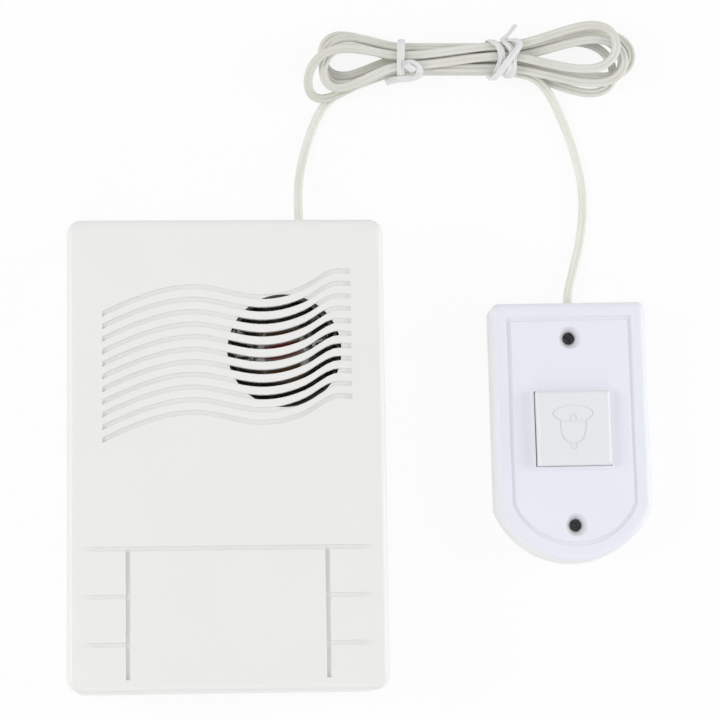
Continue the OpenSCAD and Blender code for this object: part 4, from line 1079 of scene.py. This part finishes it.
def close_collar(place):
    """The cap sits low and to the right in its opening, and each screw hole widens behind the panel."""
    x, y = on_push(place)
    for hole in SCREW_HOLES:
        if place.z < HOLE_Z * MM and math.hypot(x, y - hole) < HOLE_R:
            return push_point(x * HOLE_FLARE, hole + (y - hole) * HOLE_FLARE, place.z / MM) * MM
    if place.z < OPENING_Z * MM or max(abs(x), abs(y - CAP_Y)) > OPENING + NEAR:
        return place
    x = min(x, OPENING - TIGHT_RIGHT)
    y = max(CAP_Y - OPENING + TIGHT_BOTTOM, min(y, CAP_Y + OPENING - TIGHT_TOP))
    return push_point(x, y, place.z / MM) * MM


def shallow_bell(place):
    """The bell's lines are only a faint relief."""
    low = in_bell(place) and place.z < (BELL_FLOOR + NEAR) * MM
    return Vector((place.x, place.y, (CAP_TOP - BELL_DEPTH) * MM)) if low else place


def shell(node, name, material, slot, width, share, body="chime_set", **how):
    """Softened copy of a node, in its place. width is that of its rounded edges, in metres."""
    dress(softened(node, name, material, width, share, **how), body, slot, node)


shell("front_cover", "front_shell", WHITE_SHELL, "white_shell", 0.00016, front_edges,
      cuts=(-LINE_FULL, LINE_FULL))
shell("back_case", "back_shell", WHITE_SHELL, "white_shell", 0.00015, back_edges)
shell("battery_cover", "battery_door_panel", WHITE_SHELL, "white_shell", 0.00012, all_edges, "battery_door")
shell("button_cover", "push_shell", PUSH_WHITE, "push_white", 0.0002, panel_edges, moved=close_collar)
shell("button_base", "push_back_plate", BASE_WHITE, "white_shell", 0.0002, back_edges)
shell("push_button", "push_cap", CAP_WHITE, "cap_white", 0.0002, cap_edges, "push_cap", moved=shallow_bell,
      flats=False)

# Wires inside the box and the push, in millimetres along the routes of the solids

WIRE_R = 0.5
WIRE_SPACING = 0.6
SPEAKER_WIRES = [[(2.6, y, 19), (1, y, 19), (-1.8, y, 17.6), (-5, y, 14.2), (-8.4, y, 12.8), (-10, y, 12.8)]
                 for y in (26.8, 30.8)]
BATTERY_WIRES = [[(-28.35, -37.65, 20.6), (-29.85, -37.65, 20.6), (-30.85, -35.15, 20.6),
                  (-31.65, -29.65, 20.6), (-31.65, -18, 19.6), (-31, -4, 14.8), (-30, 4, 12.8),
                  (-30, 8, 12.8), (-30, 10, 12.8)],
                 [(-28.35, -52.35, 20.6), (-29.85, -52.35, 20.6), (-33.35, -49.85, 20.6),
                  (-34.15, -44.35, 20.6), (-34.15, -18, 19.6), (-34, -4, 14.8), (-33, 4, 12.8),
                  (-33, 8, 12.8), (-33, 10, 12.8)]]
CHIME_TAIL = [(21.7, 66, 8.1), (21.7, 61, 8.1), (21.3, 58, 8.2), (18.6, 55.4, 8.6), (13, 54.6, 9.6),
              (6, 54.8, 10.8), (-2, 55.2, 11.8), (-10, 55.8, 12.6), (-24, 56.2, 12.8), (-26.6, 54.8, 12.8),
              (-27, 52.6, 12.8), (-27, 50, 12.8)]
PUSH_TAIL = [(1.1, 37.5, 2.9), (1.1, 34.1, 2.9), (2.6, 32.6, 2.9), (5.4, 30.4, 2.9), (6.9, 27, 2.9),
             (7.4, 22, 2.9), (8.2, 18, 2.9), (9, 15, 2.9), (9, 12.4, 2.9)]
PUSH_WIRES = [[(9.65, 12.4, 2.9), (9.65, 10.4, 2.9), (11.4, 6.4, 2.6), (13.4, 2.4, 2.6), (14, -2.2, 2.6),
               (14, -4.2, 2.6)],
              [(8.35, 12.4, 2.9), (8.35, 10.8, 2.9), (6.6, 8.4, 2.6), (2, 7.4, 2.6), (-6, 7.2, 2.6),
               (-11, 5.4, 2.6), (-13.6, 1.6, 2.6), (-14, -2.2, 2.6), (-14, -4.2, 2.6)]]


def round_section():
    angles = [math.radians(a) for a in range(0, 360, 30)]
    return [(WIRE_R * math.cos(a), WIRE_R * math.sin(a)) for a in angles]


def wire_set(node, name, routes, section, material, slot):
    """Wires along routes, in the place of a node."""
    lines = [evenly(curved(route), WIRE_SPACING) for route in routes]
    parts = [swept("%s_%d" % (name, i), line, section, material) for i, line in enumerate(lines)]
    dress(joined(name, parts), "chime_set", slot, node)


def on_set(routes):
    """Routes on the push, in millimetres of the whole set."""
    return [[push_point(*p) for p in route] for route in routes]


wire_set("speaker_wires", "speaker_wire_pair", SPEAKER_WIRES, round_section(), RED_VINYL, "wire_red")
wire_set("battery_wires", "battery_wire_pair", BATTERY_WIRES, round_section(), RED_VINYL, "wire_red")
wire_set("cord_tail_chime", "lead_end_in_box", [CHIME_TAIL], twin_section(), LEAD_VINYL, "lead_vinyl")
wire_set("cord_tail_button", "lead_end_in_push", on_set([PUSH_TAIL]), twin_section(), LEAD_VINYL,
         "lead_vinyl")
wire_set("button_wires", "push_wire_pair", on_set(PUSH_WIRES), round_section(), LEAD_VINYL, "lead_vinyl")

# Screws, contact springs and the film of the speaker: places in millimetres

CASE_SCREWS = [(x, y, 1.2) for x in (-37.5, 37.5) for y in (-59, 59)]
BOARD_SCREWS = [(-34, 14, 13.6), (-14, 46, 13.6)]
SPEAKER_SCREW_R = 22.5
SPEAKER_SCREWS = [(SPEAKER[0] + SPEAKER_SCREW_R * math.cos(math.radians(a)),
                   SPEAKER[1] + SPEAKER_SCREW_R * math.sin(math.radians(a)), 25.5) for a in (90, 210, 330)]
TERMINAL_SCREWS = [push_point(-14, -7, 2.4), push_point(14, -7, 2.4)]
CELL_SPRINGS = [(-27.45, -37.65, 9.3), (27.45, -52.35, 9.3)]
PUSH_SPRING = {"Turns": 6.0, "Foot Radius": 0.00295, "Tip Radius": 0.00295, "Length": 0.0064, "Wire": 0.0005}
SPRING_FOOT = 2.0
SPRING_START = 0.3
FILM_PLACE = (SPEAKER[0], SPEAKER[1], 22.1)


def screw_set(node, name, places, head, shank, over, seed):
    """Screws in the place of a node. head is a radius and a height, shank a radius and a length."""
    sizes = {"Head Radius": head[0] * MM, "Head Height": head[1] * MM, "Shank Radius": shank[0] * MM,
             "Shank Length": shank[1] * MM, "Turned Over": 1.0 if over else 0.0, "Seed": seed}
    dress(grown(name, SCREWS, PLATED_STEEL, sizes, places), "chime_set", "plated_steel", node)


screw_set("case_screws", "case_screw_set", CASE_SCREWS, (2.5, 1.0), (1.2, 11.0), True, 3)
screw_set("board_screws", "board_screw_set", BOARD_SCREWS, (2.2, 1.4), (0.95, 7.0), False, 5)
screw_set("speaker_screws", "speaker_screw_set", SPEAKER_SCREWS, (3.6, 1.2), (0.95, 2.2), True, 7)
screw_set("terminal_screws", "terminal_screw_set", TERMINAL_SCREWS, (2.5, 1.4), (1.2, 2.0), False, 9)
cell_springs = grown("contact_spring_pair", SPRINGS, PLATED_STEEL, {}, CELL_SPRINGS,
                     directions=[(1, 0, 0), (-1, 0, 0)])
dress(cell_springs, "chime_set", "plated_steel", "battery_springs")
push_spring = grown("push_spring", SPRINGS, PLATED_STEEL, PUSH_SPRING,
                    [push_point(0, 0, SPRING_FOOT + SPRING_START)], directions=[(0, 0, 1)])
dress(push_spring, "chime_set", "plated_steel", "return_spring")
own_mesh(push_spring)
speaker_film = grown("speaker_film", RIBBED_FILM, CLEAR_FILM, {}, [FILM_PLACE])
dress(speaker_film, "diaphragm", "clear_film", "speaker_cone")

# Ties: ribbons round the waist of the hank, in millimetres from its middle

WAIST_MIDDLE = Vector((0.0, RISE, 4.9))
RIBBON_STEPS = 12
RIBBON_SPACING = 0.35
FACING_REACH = 3.0
STRAP_RING = [(-15.2, 5.7, 7.4), (-15.5, 4.4, 9.0), (-15.6, 1.9, 9.35), (-15.7, -1.2, 9.35),
              (-15.7, -3.3, 8.9), (-15.6, -4.25, 7.4), (-15.5, -4.3, 4.9), (-15.4, -4.2, 2.2),
              (-15.3, -3.0, 0.6), (-15.2, 0.8, 0.43), (-15.1, 4.4, 0.6), (-15.1, 5.8, 2.2),
              (-15.1, 5.95, 4.9)]
STRAP_FOOT = [(-19.7, -6.2, 3.5), (-17.7, -5.7, 4.4), (-15.5, -5.45, 5.0), (-13.2, -5.4, 5.4),
              (-11.3, -5.3, 6.0), (-10.3, -4.9, 7.2), (-10.1, -4.1, 8.8), (-10.8, -2.8, 9.7),
              (-12.2, -2.0, 9.8), (-13.6, -1.9, 9.6), (-14.3, -2.3, 9.9), (-13.6, -3.0, 10.1),
              (-12.6, -3.6, 9.7), (-11.8, -4.0, 9.0)]
TWIST_RING = [(11.0, 5.6, 7.4), (12.1, 4.6, 9.0), (13.3, 3.3, 9.4), (14.1, 1.3, 9.5), (14.1, -0.6, 9.5),
              (13.5, -2.4, 9.4), (12.9, -3.7, 8.8), (12.6, -4.3, 7.2), (12.5, -4.3, 4.9), (12.4, -4.2, 2.2),
              (12.2, -3.0, 0.6), (11.8, 0.8, 0.43), (11.4, 4.4, 0.6), (11.1, 5.8, 2.2), (10.9, 5.95, 4.9)]
TWIST_OVER = [(15.2, 5.9, 3.6), (15.8, 5.95, 6.4), (17.1, 5.5, 8.8), (18.8, 4.9, 9.9), (19.4, 3.8, 10.2),
              (18.5, 2.0, 10.3), (16.9, -0.1, 10.3), (15.2, -2.2, 10.2), (13.9, -4.0, 9.7), (12.8, -5.2, 8.6),
              (11.7, -5.9, 7.4), (10.8, -5.6, 6.6), (10.4, -4.7, 6.9)]
TWIST_TAIL = [(18.7, 10.5, 6.8), (17.9, 9.3, 7.0), (17.0, 8.1, 7.2), (15.7, 6.7, 7.5), (14.8, 5.7, 8.1),
              (15.4, 4.5, 9.2), (16.5, 3.2, 9.5), (17.3, 1.4, 9.5), (17.6, -0.5, 9.5), (17.6, -2.4, 9.3),
              (17.5, -3.8, 8.5), (17.3, -4.7, 7.2), (16.4, -5.1, 6.2), (15.6, -4.8, 6.6), (15.6, -4.2, 8.2),
              (16.0, -3.2, 9.3), (16.5, -1.8, 9.5)]
FOOT_FACES = {k: (0, -0.6, 0.8) for k in range(4)}
TAIL_FACES = {k: (-0.6, 0.3, 0.6) for k in range(2)}


def outward(point, along):
    """Direction away from the middle line of the hank, square to a ribbon's own line."""
    away = Vector((0.0, point.y - WAIST_MIDDLE.y, point.z - WAIST_MIDDLE.z))
    return (away - along * away.dot(along)).normalized()


def nearest(line, places, point):
    return min(places, key=lambda i: (line[i] - point).length)


def ribbon(name, points, width, faces=None, closed=False):
    """Ribbon through points. faces gives its facing at some of them, and the rest face away from the hank."""
    middle = Vector((HANK[0], HANK[1], 0.0))
    whole = curved(points + points[:3] if closed else points, RIBBON_STEPS)
    line = evenly(whole, RIBBON_SPACING)
    if closed:
        start = whole[RIBBON_STEPS]
        line = line[nearest(line, range(len(line) // 2), start):]
        line = line[:nearest(line, range(len(line) // 2, len(line)), start)]
    n = len(line)
    turned_to = []
    for i, p in enumerate(line):
        ahead = line[(i + 1) % n] if closed else line[min(i + 1, n - 1)]
        behind = line[i - 1] if closed else line[max(i - 1, 0)]
        along = (ahead - behind).normalized()
        facing = outward(p, along)
        for place, wanted in (faces or {}).items():
            near = max(0.0, 1.0 - (p - Vector(points[place])).length / FACING_REACH)
            facing = facing.lerp(Vector(wanted).normalized(), smooth(near))
        turned_to.append((facing - along * facing.dot(along)).normalized())
    edges = [(i, (i + 1) % n) for i in range(n if closed else n - 1)]
    places = [p + middle for p in line]
    return grown(name, RIBBON, TIE_WHITE, {"Width": width * MM}, places, edges, turned_to)


strap = [ribbon("strap_ring", STRAP_RING, 2.3, closed=True),
         ribbon("strap_foot", STRAP_FOOT, 2.1, FOOT_FACES)]
dress(joined("strap_ribbon", strap), "chime_set", "tie_white", "strap_tie")
twist = [ribbon("twist_ring", TWIST_RING, 2.1, closed=True),
         ribbon("twist_over", TWIST_OVER, 2.0),
         ribbon("twist_tail", TWIST_TAIL, 1.9, TAIL_FACES)]
dress(joined("twist_ribbon", twist), "chime_set", "tie_white", "twist_tie")

# Finishes of the solids that stay as they are
for material, names in ((CELL_SLEEVE, ("battery_upper", "battery_lower")),
                        (PLATED_STEEL, ("battery_terminals", "battery_bridge", "speaker_yoke", "pole_plate")),
                        (BOARD_GREEN, ("circuit_board",)), (BLACK_RESIN, ("sound_chip", "transistors")),
                        (CAPACITOR_SLEEVE, ("capacitor",)), (RESISTOR_TAN, ("resistors",)),
                        (SPEAKER_BLACK, ("speaker_basket",)), (MAGNET_DARK, ("speaker_magnet",)),
                        (COPPER_WIRE, ("voice_coil",)), (CLEAR_FILM, ("cone_surround",)),
                        (TAG_BROWN, ("speaker_terminals",)),
                        (CONTACT_BRASS, ("contact_bridge", "fixed_contacts"))):
    for name in names:
        NODES[name].data.materials.clear()
        NODES[name].data.materials.append(material)

bpy.context.view_layer.update()
